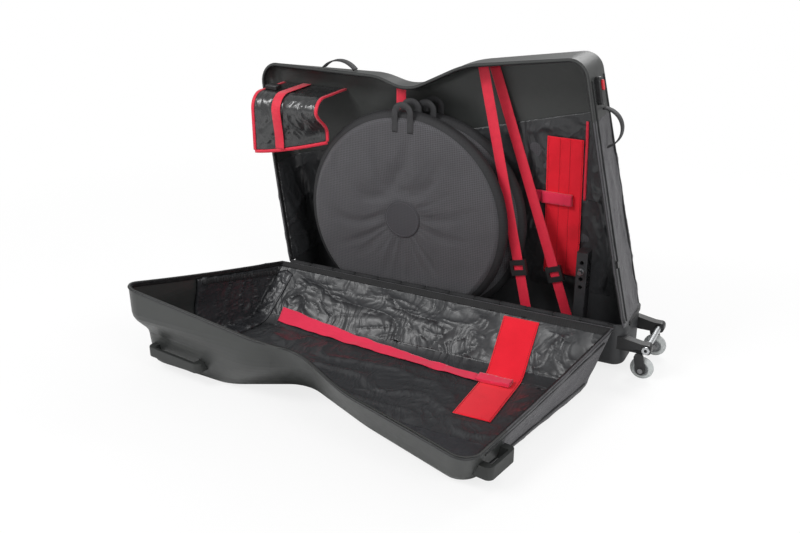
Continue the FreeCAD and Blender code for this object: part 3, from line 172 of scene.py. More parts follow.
trim_rubber = plastic("trim_rubber", (28, 28, 29), (44, 44, 45), 0.55, grain=1200.0)
paint(trim_rubber, None, "tub_edge_trim")

# Hinge: a braided cord in woven sleeves that belong in turn to the tub and to the lid, so the lid
# folds down to the floor. The sleeves are soft and close round the cord.

THICK_YARN = 0.22


def woven_cloth():
    """Square weave with a ripstop grid, kept off the axis that a face looks along."""
    group, given, calc = new_effect("woven_cloth", ["Position", "Normal"], "Yarn Pitch", "Grid Pitch")
    place = add(group, "ShaderNodeSeparateXYZ", {0: given["Position"]}).outputs
    facing = add(group, "ShaderNodeSeparateXYZ", {0: given["Normal"]}).outputs
    yarn, grid = 0.0, 0.0
    for axis in range(3):
        away = calc("SUBTRACT", 1.0, calc("ABSOLUTE", facing[axis]))
        turn = calc("DIVIDE", place[axis], given["Yarn Pitch"])
        wave = calc("SINE", calc("MULTIPLY", turn, math.tau))
        yarn = calc("MULTIPLY_ADD", wave, away, yarn)
        step = calc("FRACT", calc("DIVIDE", place[axis], given["Grid Pitch"]))
        line = calc("MULTIPLY", calc("LESS_THAN", step, THICK_YARN), away)
        grid = calc("MAXIMUM", grid, line)
    cloud = cloudy(group, given["Position"], 14.0, 6.0)[0]
    share = calc("MULTIPLY", grid, calc("ADD", cloud, 0.15))
    return ended(group, given, share, cloud, 0.2, calc("MULTIPLY_ADD", grid, 0.8, yarn))


WEAVE = woven_cloth()


def cloth(name, color, line, roughness, yarn=0.0011, grid=0.0055, bump=0.35, **constants):
    """Woven fabric finish."""
    pitches = {"Yarn Pitch": yarn, "Grid Pitch": grid}
    return coated(name, WEAVE, color, line, roughness, pitches, bump, 0.0004, **constants)


def merged_copy(node):
    """Edit mesh of a node with its loose triangles joined."""
    edit = bmesh.new()
    edit.from_mesh(nodes[node].data)
    bmesh.ops.remove_doubles(edit, verts=edit.verts, dist=MERGE)
    return edit


def placed(name, data):
    """Object in the scene."""
    piece = bpy.data.objects.new(name, data)
    scene.collection.objects.link(piece)
    return piece


def mesh_of(edit, name):
    """Plain mesh from an edit mesh, which is freed."""
    mesh = bpy.data.meshes.new(name)
    edit.to_mesh(mesh)
    edit.free()
    return mesh


def settle(piece, material, body, slot, *replaced, smooth=True):
    """Shade a piece and fix it to its body. The slot is not used."""
    if not piece.data.materials:
        piece.data.materials.append(material)
    if smooth:
        piece.data.shade_smooth()
    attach(piece, body)
    if replaced:
        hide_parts(*replaced)
    return piece


def piece_from(edit, name, material, body, slot, *replaced, smooth=True):
    """Finished piece at the origin, on a body, standing for nodes."""
    mesh = mesh_of(edit, name)
    mesh.validate()
    return settle(placed(name, mesh), material, body, slot, *replaced, smooth=smooth)


def split_long(edit, cell, layer=None):
    """Halve edges until none is longer than a cell, only next to marked points if a layer is given."""
    for _ in range(12):
        long = [edge for edge in edit.edges if edge.calc_length() > cell
                and (layer is None or max(edge.verts[0][layer], edge.verts[1][layer]) > 0.4)]
        if not long:
            return
        bmesh.ops.subdivide_edges(edit, edges=long, cuts=1)
        bmesh.ops.triangulate(edit, faces=[face for face in edit.faces if len(face.verts) > 3])


sleeve_cloth = cloth("sleeve_cloth", (34, 34, 36), (48, 48, 50), 0.8, yarn=0.0016, grid=0.009)
cord_cloth = cloth("cord_cloth", (26, 26, 27), (44, 44, 46), 0.75, yarn=0.002, grid=0.004)
TUBE_CELL, FLAT_CELL, WALL_CELL, BAND_CELL = 0.05, 0.02, 0.011, 0.01


def soft_copy(node, name, material, body, slot, cell, shift=None):
    """Copy of a soft node cut into cells, each of its points moved by a shift."""
    edit = merged_copy(node)
    split_long(edit, cell)
    edit.normal_update()
    if shift:
        for vert in edit.verts:
            vert.co += shift(vert)
    return piece_from(edit, name, material, body, slot, node)


def uneven(swell):
    """Shift for sewn tubes, which are uneven along their length."""
    return lambda vert: vert.normal * (min(noise.noise(vert.co * 60), 0.2) * swell)


soft_copy("hinge_cord", "hinge_cord_braid", cord_cloth, "base", "hinge_cord", TUBE_CELL, uneven(0.0004))
for half, body in (("tub", "base"), ("lid", "lid")):
    soft_copy(half + "_hinge_sleeves", half + "_sleeve_cloth", sleeve_cloth, body, "hinge_sleeve", TUBE_CELL,
              uneven(0.0003))

# Tail end: two moulded noses carry a round alloy tube as a grab bar, with turned end rings; below each
# nose a flat arm holds a clear cast skate wheel on a steel shoulder bolt.

hardware_plastic = plastic("hardware_plastic", (30, 30, 31), (50, 50, 51), 0.42)


def turned_metal():
    """Fine turned lines along one axis with soft smudges."""
    group, given, _ = new_effect("turned_metal", ["Position"])
    drawn = add(group, "ShaderNodeMapping", {0: given["Position"], 3: (900.0, 40.0, 900.0)})
    lines = cloudy(group, drawn.outputs[0], 1.0, 2.0)[0]
    smudge = cloudy(group, given["Position"], 45.0, 4.0)[0]
    return ended(group, given, smudge, smudge, 0.2, lines)


TURNED = turned_metal()


def metal(name, color, dull, roughness):
    """Metal finish with turning lines."""
    return coated(name, TURNED, color, dull, roughness, {}, 0.15, 0.0002, Metallic=1.0)


tube_alloy = metal("tube_alloy", (214, 216, 218), (176, 178, 180), 0.3)
bolt_steel = metal("bolt_steel", (170, 170, 172), (130, 130, 132), 0.35)
tyre_urethane = plastic("tyre_urethane", (196, 200, 200), (150, 152, 150), 0.34, grain=300.0, bump=0.1,
                        depth=0.0002, Subsurface_Weight=0.35, Subsurface_Radius=(0.01, 0.01, 0.01),
                        Subsurface_Scale=0.5)
hub_plastic = plastic("hub_plastic", (120, 122, 124), (150, 152, 153), 0.4)
paint(hardware_plastic, 0.0015, "bar_brackets")
paint(hardware_plastic, 0.0012, "wheel_arms")
paint(tube_alloy, None, "tail_bar")
paint(tube_alloy, 0.001, "bar_end_caps")
paint(bolt_steel, 0.0006, "wheel_axles")
paint(tyre_urethane, 0.0015, "near_wheel_tyre", "far_wheel_tyre")
paint(hub_plastic, 0.0006, "near_wheel_hub", "far_wheel_hub")
paint(bolt_steel, 0.0004, "near_wheel_bearings", "far_wheel_bearings")

# Stand: an alloy rail screwed to the tub's floor, a sliding moulded foot and a bored post that takes
# the rear axle, with a turned adapter in one of its bores.

post_plastic = plastic("post_plastic", (34, 34, 36), (56, 56, 58), 0.5)
paint(metal("rail_alloy", (92, 93, 95), (70, 71, 73), 0.4), 0.0006, "stand_rail")
paint(post_plastic, 0.0015, "tower_foot")
paint(post_plastic, 0.0008, "dropout_tower")
paint(bolt_steel, 0.0008, "axle_adapter")

# Hard top shells: formed plastic with a satin skin, one over the back half and one round the front of
# the lid. They are kept as built.

shell_plastic = plastic("shell_plastic", (52, 54, 53), (66, 68, 67), 0.42, grain=900.0, bump=0.12)
paint(shell_plastic, None, "back_top_shell", "lid_front_shell")

# Fabric walls of the back half: ripstop over thin foam, sewn to the shell, the tub and each other.
# They buckle a little between their seams.

wall_cloth = cloth("wall_cloth", (66, 65, 69), (84, 83, 87), 0.6, Sheen_Weight=0.15)
SEAM_REACH, SEAM_FLAT, SEAM_RAMP, ZIP_REACH = 0.06, 0.004, 0.05, 0.045


def tree_of(*names):
    """Surface of some nodes, for distances."""
    points, faces = [], []
    for name in names:
        start = len(points)
        mesh = nodes[name].data
        points += [vert.co.copy() for vert in mesh.vertices]
        faces += [[start + i for i in poly.vertices] for poly in mesh.polygons]
    return BVHTree.FromPolygons(points, faces)


def gap(tree, place, reach):
    """Distance from a surface, up to a reach."""
    near = tree.find_nearest(place, reach)[3]
    return reach if near is None else near


def eased(share):
    """Smooth step from 0 to 1."""
    share = max(0.0, min(1.0, share))
    return share * share * (3 - 2 * share)


def folds(place, stretch, scale, ridge):
    """Folding of cloth at a place: sharp crests with flat troughs, drawn out along one direction."""
    spot = Vector(place[i] * stretch[i] for i in range(3)) * scale
    warp = Vector((noise.noise(spot * 0.7), noise.noise(spot * 0.7 + Vector((7, 3, 1))), 0)) * 0.6
    crest = 1 - abs(noise.noise(spot + warp) * 1.6)
    fine = 1 - abs(noise.noise(spot * 2.7 + warp * 2) * 1.6)
    return max(0.0, crest) ** ridge + 0.35 * max(0.0, fine) ** ridge


def buckled_wall(node, name, body, seams, outward, depth, stretch, scale, zip_tape=None):
    """Fabric wall that swells and folds away from its seams, but only inwards beside a zip's run."""
    seam = tree_of(*seams)
    run = tree_of(zip_tape) if zip_tape else None
    aim = Vector(outward).normalized()

    def shift(vert):
        ease = eased((gap(seam, vert.co, SEAM_REACH) - SEAM_FLAT) / SEAM_RAMP)
        swell = folds(vert.co, stretch, scale, 3) - 0.55
        if run and gap(run, vert.co, ZIP_REACH) < ZIP_REACH:
            swell = min(swell, 0.0)
        return aim * (swell * depth * ease)
    soft_copy(node, name, wall_cloth, body, "case_fabric", WALL_CELL, shift)


BACK_SEAMS = ("back_top_shell", "base_tub")
buckled_wall("back_right_gusset", "back_right_cloth", "base", BACK_SEAMS, (1, 0, 0.2), 0.004, (1, 1.5, 0.45),
             14, zip_tape="back_zip_tape")
buckled_wall("back_left_gusset", "back_left_cloth", "base", BACK_SEAMS, (-1, 0, -0.25), 0.004, (1, 1.5, 0.45),
             14)
buckled_wall("back_panel", "back_panel_cloth", "base", BACK_SEAMS, (0, 1, 0.1), 0.004, (0.6, 1, 0.9), 9)

# Fabric walls of the lid: the same cloth over thin foam at both ends, and the flat face that lies on
# the floor, which stays flat.

LID_SEAMS = ("lid_front_shell",)
buckled_wall("lid_right_gusset", "lid_right_cloth", "lid", LID_SEAMS, (1, 0.1, 0.1), 0.002, (1, 0.5, 1.5), 14)
buckled_wall("lid_left_gusset", "lid_left_cloth", "lid", LID_SEAMS, (-1, 0.1, 0.1), 0.003, (1, 0.5, 1.5), 14)
soft_copy("lid_panel", "lid_panel_cloth", wall_cloth, "lid", "case_fabric", FLAT_CELL)

# Linings: thin coated tarpaulin glued at its edges, loose in between, so that it crumples into sharp
# shining creases.


def crumpled_sheet():
    """Creases of a coated sheet: long sharp folds in three directions, bent by broad waves."""
    group, given, calc = new_effect("crumpled_sheet", ["Position"], "Crease Scale")
    wave = cloudy(group, given["Position"], 6.0, 2.0)
    bent = add(group, "ShaderNodeVectorMath", {0: wave[1], 1: (0.2, 0.2, 0.2)}, operation="MULTIPLY")
    spot = add(group, "ShaderNodeVectorMath", {0: given["Position"], 1: bent.outputs[0]}, operation="ADD")
    height = 0.0
    for turn, weight in (((0.3, 0.5, 0.6), 1.0), ((-0.5, -0.4, -0.9), 0.6), ((1.2, 0.2, 0.3), 0.35)):
        drawn = add(group, "ShaderNodeMapping", {0: spot.outputs[0], 2: turn, 3: (1.0, 0.3, 0.45)})
        ridge = cloudy(group, drawn.outputs[0], given["Crease Scale"], 2.0)[0]
        away = calc("ABSOLUTE", calc("MULTIPLY_ADD", ridge, 2.0, -1.0))
        height = calc("MULTIPLY_ADD", calc("SUBTRACT", 1.0, away), weight, height)
    fine = cloudy(group, given["Position"], 120.0, 3.0)[0]
    return ended(group, given, calc("MULTIPLY", fine, wave[0]), fine, 0.2, height)


CRUMPLE = crumpled_sheet()


def tarpaulin(name, color, dust, roughness, crease, bump, depth, **constants):
    """Coated sheet finish."""
    return coated(name, CRUMPLE, color, dust, roughness, {"Crease Scale": crease}, bump, depth, **constants)


lining_sheet = tarpaulin("lining_sheet", (46, 47, 49), (72, 73, 75), 0.38, 20.0, 0.5, 0.012,
                         Specular_IOR_Level=0.5)
GLUED, HEM_FLAT = 0.001, 0.0025


def crumpled_lining(node, name, body, walls, material, cell, depth, stretch, scale, hem=0.03, calm=()):
    """Copy of a lining whose free side crumples inwards and whose glued side stays put."""
    edit = merged_copy(node)
    wall = tree_of(*walls)
    free = edit.verts.layers.float.new("free")
    for reach in (None, cell):
        if reach:
            split_long(edit, reach, free)
        for vert in edit.verts:
            vert[free] = 1.0 if wall.find_nearest(vert.co)[3] > GLUED else 0.0
    edit.normal_update()
    border = [vert.co.copy() for vert in edit.verts if vert[free] < 0.9
              and any(edge.other_vert(vert)[free] > 0.9 for edge in vert.link_edges)]
    marks = [BVHTree.FromPolygons(border, [(i, i, i) for i in range(len(border))])] if border else []
    marks += [tree_of(*calm)] if calm else []
    for vert in edit.verts:
        if vert[free] > 0.9:
            rise = depth * folds(vert.co, stretch, scale, 4)
            for mark in marks:
                rise *= eased((gap(mark, vert.co, hem) - HEM_FLAT) / hem)
            if wall.ray_cast(vert.co, vert.normal, rise + GLUED)[0] is None:
                vert.co += vert.normal * rise
    edit.normal_update()
    return piece_from(edit, name, material, body, "liner", node)


BACK_WALLS = ("back_top_shell", "back_left_gusset", "back_right_gusset", "back_panel")
LID_WALLS = ("lid_front_shell", "lid_left_gusset", "lid_right_gusset", "lid_panel")
back_lining = crumpled_lining("back_liner", "back_lining", "base", BACK_WALLS, lining_sheet, 0.010, 0.009,
                              (1.0, 1.0, 0.4), 12, calm=("back_hook_band", "back_cinch_strap"))
crumpled_lining("lid_liner", "lid_lining", "lid", LID_WALLS, lining_sheet, 0.014, 0.008, (0.6, 1.0, 1.0), 11,
                calm=("lid_hook_band", "lid_cinch_strap", "lid_pocket", "lid_side_pocket"))

# Lid pockets: flat pockets of the same sheet, one behind the front rim with a zip, one at the deep end
# with a gathered elastic hem.

pocket_sheet = tarpaulin("pocket_sheet", (46, 47, 50), (72, 73, 76), 0.36, 16.0, 0.4, 0.010)
POCKET_WALLS = LID_WALLS + ("lid_liner",)
crumpled_lining("lid_pocket", "lid_pocket_sheet", "lid", POCKET_WALLS, pocket_sheet, 0.012, 0.003,
                (0.5, 1.0, 1.0), 14, hem=0.02)
side_pocket = crumpled_lining("lid_side_pocket", "lid_side_pocket_sheet", "lid", POCKET_WALLS, pocket_sheet,
                              0.010, 0.008, (1.0, 2.2, 0.4), 18, hem=0.02)

# Zips: woven tapes sewn inside each rim, with a coil of small teeth that stands at the very edge and a
# round binding over the shell's lip. Pipings mark the seams of the end walls.

HINGE = Vector((0.0, -0.030, 0.150))
PARTING_LEFT, PARTING_RIGHT = 0.093, -0.074
SHOULDERS = ((-0.590, 0.738), (0.480, 0.864))
CROWN = ((0.480, 0.864, 0.050), (0.135, 0.808, 0.300), (-0.045, 0.718, 0.130), (-0.150, 0.746, 0.200),
         (-0.590, 0.738, 0.050))
BACK_FEET = (-0.432, 0.628)
LID_FEET = (-0.452, 0.602)
RIM_STEP = 0.03


def straight(start, end, steps):
    """Points from one place to another."""
    return [Vector(start).lerp(Vector(end), i / steps) for i in range(steps + 1)]


def heading(points, i):
    """Way along a line at one of its points."""
    return (points[min(i + 1, len(points) - 1)] - points[max(i - 1, 0)]).normalized()


def across(x):
    """Share of the way from the left shoulder to the right one."""
    return (x - SHOULDERS[0][0]) / (SHOULDERS[1][0] - SHOULDERS[0][0])


def parting(x, z):
    """Depth of the twisted face where the two halves meet."""
    left, right = [(depth - HINGE.y) / (height - HINGE.z)
                   for depth, (_, height) in zip((PARTING_LEFT, PARTING_RIGHT), SHOULDERS)]
    return HINGE.y + (left + (right - left) * across(x)) * (z - HINGE.z)


def rounded(corners):
    """Outline through corners with their own radii, in short steps."""
    turns = [[Vector(corners[0][:2])]]
    for before, (x, z, radius), after in zip(corners, corners[1:], corners[2:]):
        here = Vector((x, z))
        into = (here - Vector(before[:2])).normalized()
        out = (Vector(after[:2]) - here).normalized()
        half = into.angle(out) / 2
        reach = radius * math.tan(half)
        centre = here + (out - into).normalized() * (radius / math.cos(half))
        start, end = here - into * reach - centre, here + out * reach - centre
        turns.append([centre + start.slerp(end, step / 8).normalized() * radius for step in range(9)])
    turns.append([Vector(corners[-1][:2])])
    flat = [point for turn in turns for point in turn]
    line = [flat[0]]
    for start, end in zip(flat, flat[1:]):
        line += straight(start, end, max(1, round((end - start).length / RIM_STEP)))[1:]
    return line


def rim_line(feet, inset, shift, foot_z):
    """Points round a half's rim from the right foot over the crown to the left foot, moved inwards."""
    flat = rounded([(feet[1], HINGE.z, 0.0), *CROWN, (feet[0], HINGE.z, 0.0)])
    line = []
    for i, here in enumerate(flat):
        along = heading(flat, i)
        x, z = here + Vector((-along.y, along.x)) * inset
        z = max(z, foot_z)
        line.append(Vector((x, parting(x, z) + shift, z)))
    return line


def laid_open(points):
    """The lid's points turned from closed to open."""
    turn = Matrix.Translation(HINGE) @ Matrix.Rotation(math.pi / 2, 4, "X") @ Matrix.Translation(-HINGE)
    return [turn @ point for point in points]


def as_made(source):
    """Mesh of an object as its modifiers or its curve leave it."""
    return bpy.data.meshes.new_from_object(source.evaluated_get(bpy.context.evaluated_depsgraph_get()))


def tube(name, points, radius, material, body, slot):
    """Round binding along a line, as one closed mesh."""
    curve = bpy.data.curves.new(name, "CURVE")
    curve.dimensions = "3D"
    spline = curve.splines.new("POLY")
    spline.points.add(len(points) - 1)
    for spot, point in zip(spline.points, points):
        spot.co = (*point, 1)
    curve.bevel_depth, curve.bevel_resolution, curve.use_fill_caps = radius, 2, True
    source = placed(name + "_line", curve)
    mesh = as_made(source)
    bpy.data.objects.remove(source)
    settle(placed(name, mesh), material, body, slot)


def teeth_tree():
    """Geometry nodes: small blocks along a line at a pitch, turned with it."""
    tree = bpy.data.node_groups.new("row_of_teeth", "GeometryNodeTree")
    sockets(tree, "INPUT", "Geometry", "Line")
    sockets(tree, "INPUT", "Float", "Pitch", "Length", "Width", "Height")
    sockets(tree, "INPUT", "Material", "Finish")
    sockets(tree, "OUTPUT", "Geometry", "Teeth")
    given = tree.nodes.new("NodeGroupInput").outputs
    line = add(tree, "GeometryNodeMeshToCurve", {0: given["Line"]})
    spots = add(tree, "GeometryNodeCurveToPoints", {"Curve": line.outputs[0], "Length": given["Pitch"]},
                mode="LENGTH")
    sides = add(tree, "ShaderNodeCombineXYZ", {0: given["Width"], 1: given["Height"], 2: given["Length"]})
    block = add(tree, "GeometryNodeMeshCube", {"Size": sides.outputs[0]})
    row = add(tree, "GeometryNodeInstanceOnPoints", {"Points": spots.outputs[0], "Instance": block.outputs[0],
                                                     "Rotation": spots.outputs["Rotation"]})
    real = add(tree, "GeometryNodeRealizeInstances", {0: row.outputs[0]})
    coat = add(tree, "GeometryNodeSetMaterial", {"Geometry": real.outputs[0], "Material": given["Finish"]})
    tree.links.new(coat.outputs[0], tree.nodes.new("NodeGroupOutput").inputs["Teeth"])
    return tree


TEETH = teeth_tree()


def row_of_teeth(name, lines, body, slot, material, pitch, size):
    """Teeth or stitches along lines of points, as one plain mesh."""
    edit = bmesh.new()
    for points in lines:
        verts = [edit.verts.new(point) for point in points]
        for pair in zip(verts, verts[1:]):
            edit.edges.new(pair)
    source = placed(name + "_line", mesh_of(edit, name + "_line"))
    maker = source.modifiers.new("teeth", "NODES")
    maker.node_group = TEETH
    values = dict(zip(("Length", "Width", "Height"), size), Pitch=pitch, Finish=material)
    for item in TEETH.interface.items_tree:
        if item.in_out == "INPUT" and item.name in values:
            maker[item.identifier] = values[item.name]
    made = as_made(source)
    source.modifiers.remove(maker)
    bpy.data.objects.remove(source)
    settle(placed(name, made), material, body, slot, smooth=False)


tape_cloth = cloth("tape_cloth", (24, 24, 25), (40, 40, 42), 0.75, yarn=0.0014, grid=0.007)
coil_plastic = plastic("coil_plastic", (20, 20, 21), (46, 46, 48), 0.35, grain=500.0)
binding_rubber = plastic("binding_rubber", (30, 31, 32), (52, 53, 54), 0.5, grain=800.0)
TOOTH_PITCH, RIM_TOOTH, POCKET_TOOTH = 0.0034, (0.0018, 0.0042, 0.0022), (0.0018, 0.0024, 0.0044)
RIM_FOOT, LIP_BINDING, PIPING, REAR_PIPING = 0.165, 0.0032, 0.0024, 0.0026
COIL_INSET, COIL_SHIFT, LIP_INSET, LIP_SHIFT = 0.0072, 0.0042, 0.0012, 0.0040
for half, body, feet, side in (("back", "base", BACK_FEET, 1), ("lid", "lid", LID_FEET, -1)):
    soft_copy(half + "_zip_tape", half + "_zip_cloth", tape_cloth, body, "zip_tape", FLAT_CELL)
    coil = rim_line(feet, COIL_INSET, side * COIL_SHIFT, RIM_FOOT)
    lip = rim_line(feet, LIP_INSET, side * LIP_SHIFT, RIM_FOOT)
    if half == "lid":
        coil, lip = laid_open(coil), laid_open(lip)
    row_of_teeth(half + "_zip_coil", [coil], body, "zip_slider", coil_plastic, TOOTH_PITCH, RIM_TOOTH)
    tube(half + "_rim_binding", lip, LIP_BINDING, binding_rubber, body, "trim")

END_RUN = (SHOULDERS[1][0] - BACK_FEET[1]) / (SHOULDERS[1][1] - HINGE.z)
BACK_DEPTH, BACK_LEAN, BACK_TWIST = 0.165, 0.068, 0.0356
SEAM_FOOT, SEAM_HEAD, FRONT_SEAM, REAR_SEAM = 0.162, 0.805, (0.0014, 0.026), (0.0006, -0.038)
front_edge, rear_edge = [], []
for _, _, z in straight((0, 0, SEAM_FOOT), (0, 0, SEAM_HEAD), 32):
    x = BACK_FEET[1] + END_RUN * (z - HINGE.z)
    back = BACK_DEPTH - (z - HINGE.z) * (BACK_LEAN + BACK_TWIST * across(x))
    front_edge.append(Vector((x + FRONT_SEAM[0], parting(x, z) + FRONT_SEAM[1], z)))
    rear_edge.append(Vector((x + REAR_SEAM[0], back + REAR_SEAM[1], z)))
tube("back_front_piping", front_edge, PIPING, binding_rubber, "base", "trim")
tube("back_rear_piping", rear_edge, REAR_PIPING, binding_rubber, "base", "trim")
FLOOR_SIDE, LID_PROUD = -0.180, 0.0012
LID_END = (((0.562, 0.300), (0.602, 0.158)), ((0.452, 0.815), (0.480, 0.864)))
for label, *shares in (("upper", 0.84, 0.78), ("lower", 0.24, 0.30)):
    ends = []
    for (face, rim), share in zip(LID_END, shares):
        low, high = Vector((face[0], FLOOR_SIDE, face[1])), Vector((rim[0], parting(*rim), rim[1]))
        ends.append(low.lerp(high, share) + Vector((LID_PROUD, 0, 0)))
    run = straight(ends[0].lerp(ends[1], 0.04), ends[0].lerp(ends[1], 0.90), 24)
    tube("lid_" + label + "_piping", laid_open(run), PIPING, binding_rubber, "lid", "trim")

# Zip sliders: die-cast bodies with a pull, one on the main zip's outside, one on the lid pocket. The
# pocket's own coil and its two sewn edges run along the slider's way.

slider_metal = plastic("slider_metal", (26, 26, 27), (70, 70, 72), 0.3, grain=400.0, Metallic=0.6)
paint(slider_metal, 0.0012, "main_zip_slider", "pocket_zip_slider")
low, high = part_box("pocket_zip_slider")
ZIP_ALONG, ZIP_OUT = Vector((-0.9524, 0.3049, 0)), Vector((0.3049, 0.9524, 0))
ZIP_SEAT, ZIP_LEAD, ZIP_LENGTH, ZIP_EDGE = 0.0042, 0.030, 0.290, 0.0016
zip_start = (low + high) / 2 - ZIP_OUT * ZIP_SEAT - ZIP_ALONG * ZIP_LEAD
zip_line = straight(zip_start, zip_start + ZIP_ALONG * ZIP_LENGTH, 40)
row_of_teeth("pocket_zip_coil", [zip_line], "lid", "zip_slider", coil_plastic, TOOTH_PITCH, POCKET_TOOTH)
for label, rise in (("upper", 0.009), ("lower", -0.009)):
    edge = [point + Vector((0, 0, rise)) - ZIP_OUT * 0.0006 for point in zip_line]
    tube("pocket_zip_" + label + "_edge", edge, ZIP_EDGE, binding_rubber, "lid", "zip_tape")

# Handles and ties of webbing: flat woven straps. The two red ties hold the frame and run from the tub
# up to the shell through ladder buckles; the dark ones are carry handles.

RIB_PITCH = 0.0024


def ribbed_webbing():
    """Woven ribs along a strap, from its own length and width; the darker second colour, mixed in along the
    ribs, is painted groove shade.
    """
    group, given, calc = new_effect("ribbed_webbing", ["UV"], "Rib Pitch")
    place = add(group, "ShaderNodeSeparateXYZ", {0: given["UV"]}).outputs
    waves = []
    for axis, pace in ((1, 1.0), (0, 0.8)):
        turn = calc("DIVIDE", place[axis], given["Rib Pitch"])
        waves.append(calc("SINE", calc("MULTIPLY", turn, math.tau * pace)))
    twill = calc("MULTIPLY_ADD", calc("MULTIPLY", *waves), 0.5, 0.5)
    cloud = cloudy(group, given["UV"], 40.0, 4.0)[0]
    # Painted groove shade: the darker second colour is mixed in where the rib pattern runs.
    return ended(group, given, calc("MULTIPLY", twill, cloud), cloud, 0.2, twill)


RIBS = ribbed_webbing()


def webbing(name, color, painted_groove_shade, roughness, **constants):
    """Strap finish, whose darker second colour is painted shade in the rib grooves."""
    return coated(name, RIBS, color, painted_groove_shade, roughness, {"Rib Pitch": RIB_PITCH}, 0.5, 0.0006, **constants)


def ribbon(name, points, faces_to, width, thickness, material, body, slot, *replaced):
    """Flat strap along points; faces_to gives the way its flat side looks, once or at each point."""
    edit = bmesh.new()
    layer = edit.loops.layers.uv.new("strap")
    ring = [(-0.5, 0.2), (-0.47, 0.5), (0.0, 0.5), (0.47, 0.5), (0.5, 0.2)]
    ring += [(share, -lift) for share, lift in reversed(ring)]
    rows, lengths, run = [], [], 0.0
    for i, point in enumerate(points):
        along = heading(points, i)
        up = Vector(faces_to[i] if isinstance(faces_to, list) else faces_to)
        side = along.cross(up).normalized()
        up = side.cross(along).normalized()
        rows.append([edit.verts.new(point + side * (a * width) + up * (b * thickness)) for a, b in ring])
        run += (point - points[max(i - 1, 0)]).length
        lengths.append(run)
    for i in range(len(rows) - 1):
        for k in range(len(ring)):
            after = (k + 1) % len(ring)
            spots = ((i, k), (i, after), (i + 1, after), (i + 1, k))
            face = edit.faces.new([rows[a][b] for a, b in spots])
            for loop, (a, b) in zip(face.loops, spots):
                loop[layer].uv = (lengths[a], ring[b][0] * width)
    for row in (rows[0], rows[-1]):
        edit.faces.new(row)
    bmesh.ops.recalc_face_normals(edit, faces=edit.faces)
    return piece_from(edit, name, material, body, slot, *replaced)


# The darker second colour of both webbings is painted shade in the rib grooves.
red_webbing = webbing("red_webbing", (232, 30, 62), (176, 12, 40), 0.55, Sheen_Weight=0.2)
dark_webbing = webbing("dark_webbing", (58, 58, 60), (28, 28, 29), 0.7)
STRAP, STRAP_THICK = 0.030, 0.002
TIE_FOOT, TIE_HEAD = 0.029, 0.800
FRONT, UP = Vector((0, -1, 0)), Vector((0, 0, 1))
for node, depth, foot_x, head_x in (("tie_strap_front", 0.044, 0.345, 0.168),
                                    ("tie_strap_rear", 0.096, 0.455, 0.178)):
    low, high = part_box(node)
    lean = (head_x - foot_x) / (TIE_HEAD - TIE_FOOT)
    top = high.z - 0.004
    path = straight((foot_x, depth, low.z + 0.001), (foot_x + lean * (top - TIE_FOOT), depth, top), 40)
    ribbon(node + "_webbing", path, FRONT, STRAP, STRAP_THICK, red_webbing, "base", "cinch", node)
low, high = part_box("top_tie_strap")
middle = (low + high) / 2
path = straight((middle.x, middle.y, low.z), (middle.x, middle.y, high.z - 0.003), 8)
ribbon("top_tie_webbing", path, FRONT, STRAP, STRAP_THICK, red_webbing, "base", "cinch", "top_tie_strap")
paint(hardware_plastic, 0.0012, "tie_buckles")


def bow(name, seat, along, out, length, rise, node):
    """Webbing handle bowed out from its seat in an arc that starts a little below it."""
    width, thickness, root = 0.025, 0.004, 0.012
    half, crest = (length - thickness) / 2, rise - thickness / 2
    height = crest + root
    radius = (half ** 2 + height ** 2) / (2 * height)
    sweep = math.atan2(half, radius - height)
    path = []
    for i in range(-16, 17):
        angle = sweep * i / 16
        rim = along * math.sin(angle) + out * math.cos(angle)
        path.append(seat + out * (crest - radius) + rim * radius)
    path = [point for point in path if (point - seat).dot(out) > 0.0008]
    looks = [(point - seat - out * (rise * 0.2)).normalized() for point in path]
    ribbon(name, path, looks, width, thickness, dark_webbing, "base", "webbing", node)


END_UP = Vector((END_RUN, 0, 1)).normalized()
END_OUT = Vector((END_UP.z, 0, -END_UP.x))
TAIL_Y, TAIL_Z = 0.012, 0.678
tail_seat = Vector((BACK_FEET[1], TAIL_Y, HINGE.z)) + END_UP * ((TAIL_Z - HINGE.z) / END_UP.z)
bow("tail_loop_webbing", tail_seat, END_UP, END_OUT, length=0.105, rise=0.048, node="tail_loop_handle")
low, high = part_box("top_handle")
TOP_RISE = 0.030
top_seat = Vector(((low.x + high.x) / 2, (low.y + high.y) / 2, high.z - TOP_RISE))
bow("top_handle_webbing", top_seat, Vector((1, 0, 0)), UP, length=0.130, rise=TOP_RISE, node="top_handle")

# Lock: a moulded housing on the end wall with a red push button, smooth and glossy beside the black
# hardware.

button_plastic = plastic("button_plastic", (216, 24, 40), (180, 16, 30), 0.28, grain=300.0, bump=0.05)
paint(hardware_plastic, 0.001, "lock_housing")
paint(button_plastic, 0.001, "lock_button")

# Red bands: wide strips of hook and loop sewn to the linings, with a narrow strap that runs to each
# and folds back over it. Bright felt with a stitched edge. The side pocket's hem, a narrow tape and a
# seam lie on the linings beside them.


def looped_felt():
    """Short fibre pile with soft blotches."""
    group, given, calc = new_effect("looped_felt", ["Position"])
    pile = cloudy(group, given["Position"], 700.0, 3.0)[0]
    blotch = cloudy(group, given["Position"], 22.0, 5.0)[0]
    return ended(group, given, calc("MULTIPLY", pile, blotch), blotch, 0.1, pile)


FELT = looped_felt()
red_felt = coated("red_felt", FELT, (250, 12, 44), (205, 4, 26), 0.88, {}, 0.4, 0.0008, Sheen_Weight=0.25)
pink_felt = coated("pink_felt", FELT, (244, 42, 84), (204, 20, 56), 0.8, {}, 0.35, 0.0006, Sheen_Weight=0.25)
red_thread = plastic("red_thread", (168, 6, 24), (190, 20, 40), 0.7, grain=900.0)
STITCH_PITCH, STITCH = 0.0056, (0.0040, 0.0011, 0.0009)


def waved(depth, lift):
    """Shift for sewn bands, which follow their wall with a slight wave."""
    return lambda vert: lift * (depth * (1.3 + noise.noise(vert.co * 24)))


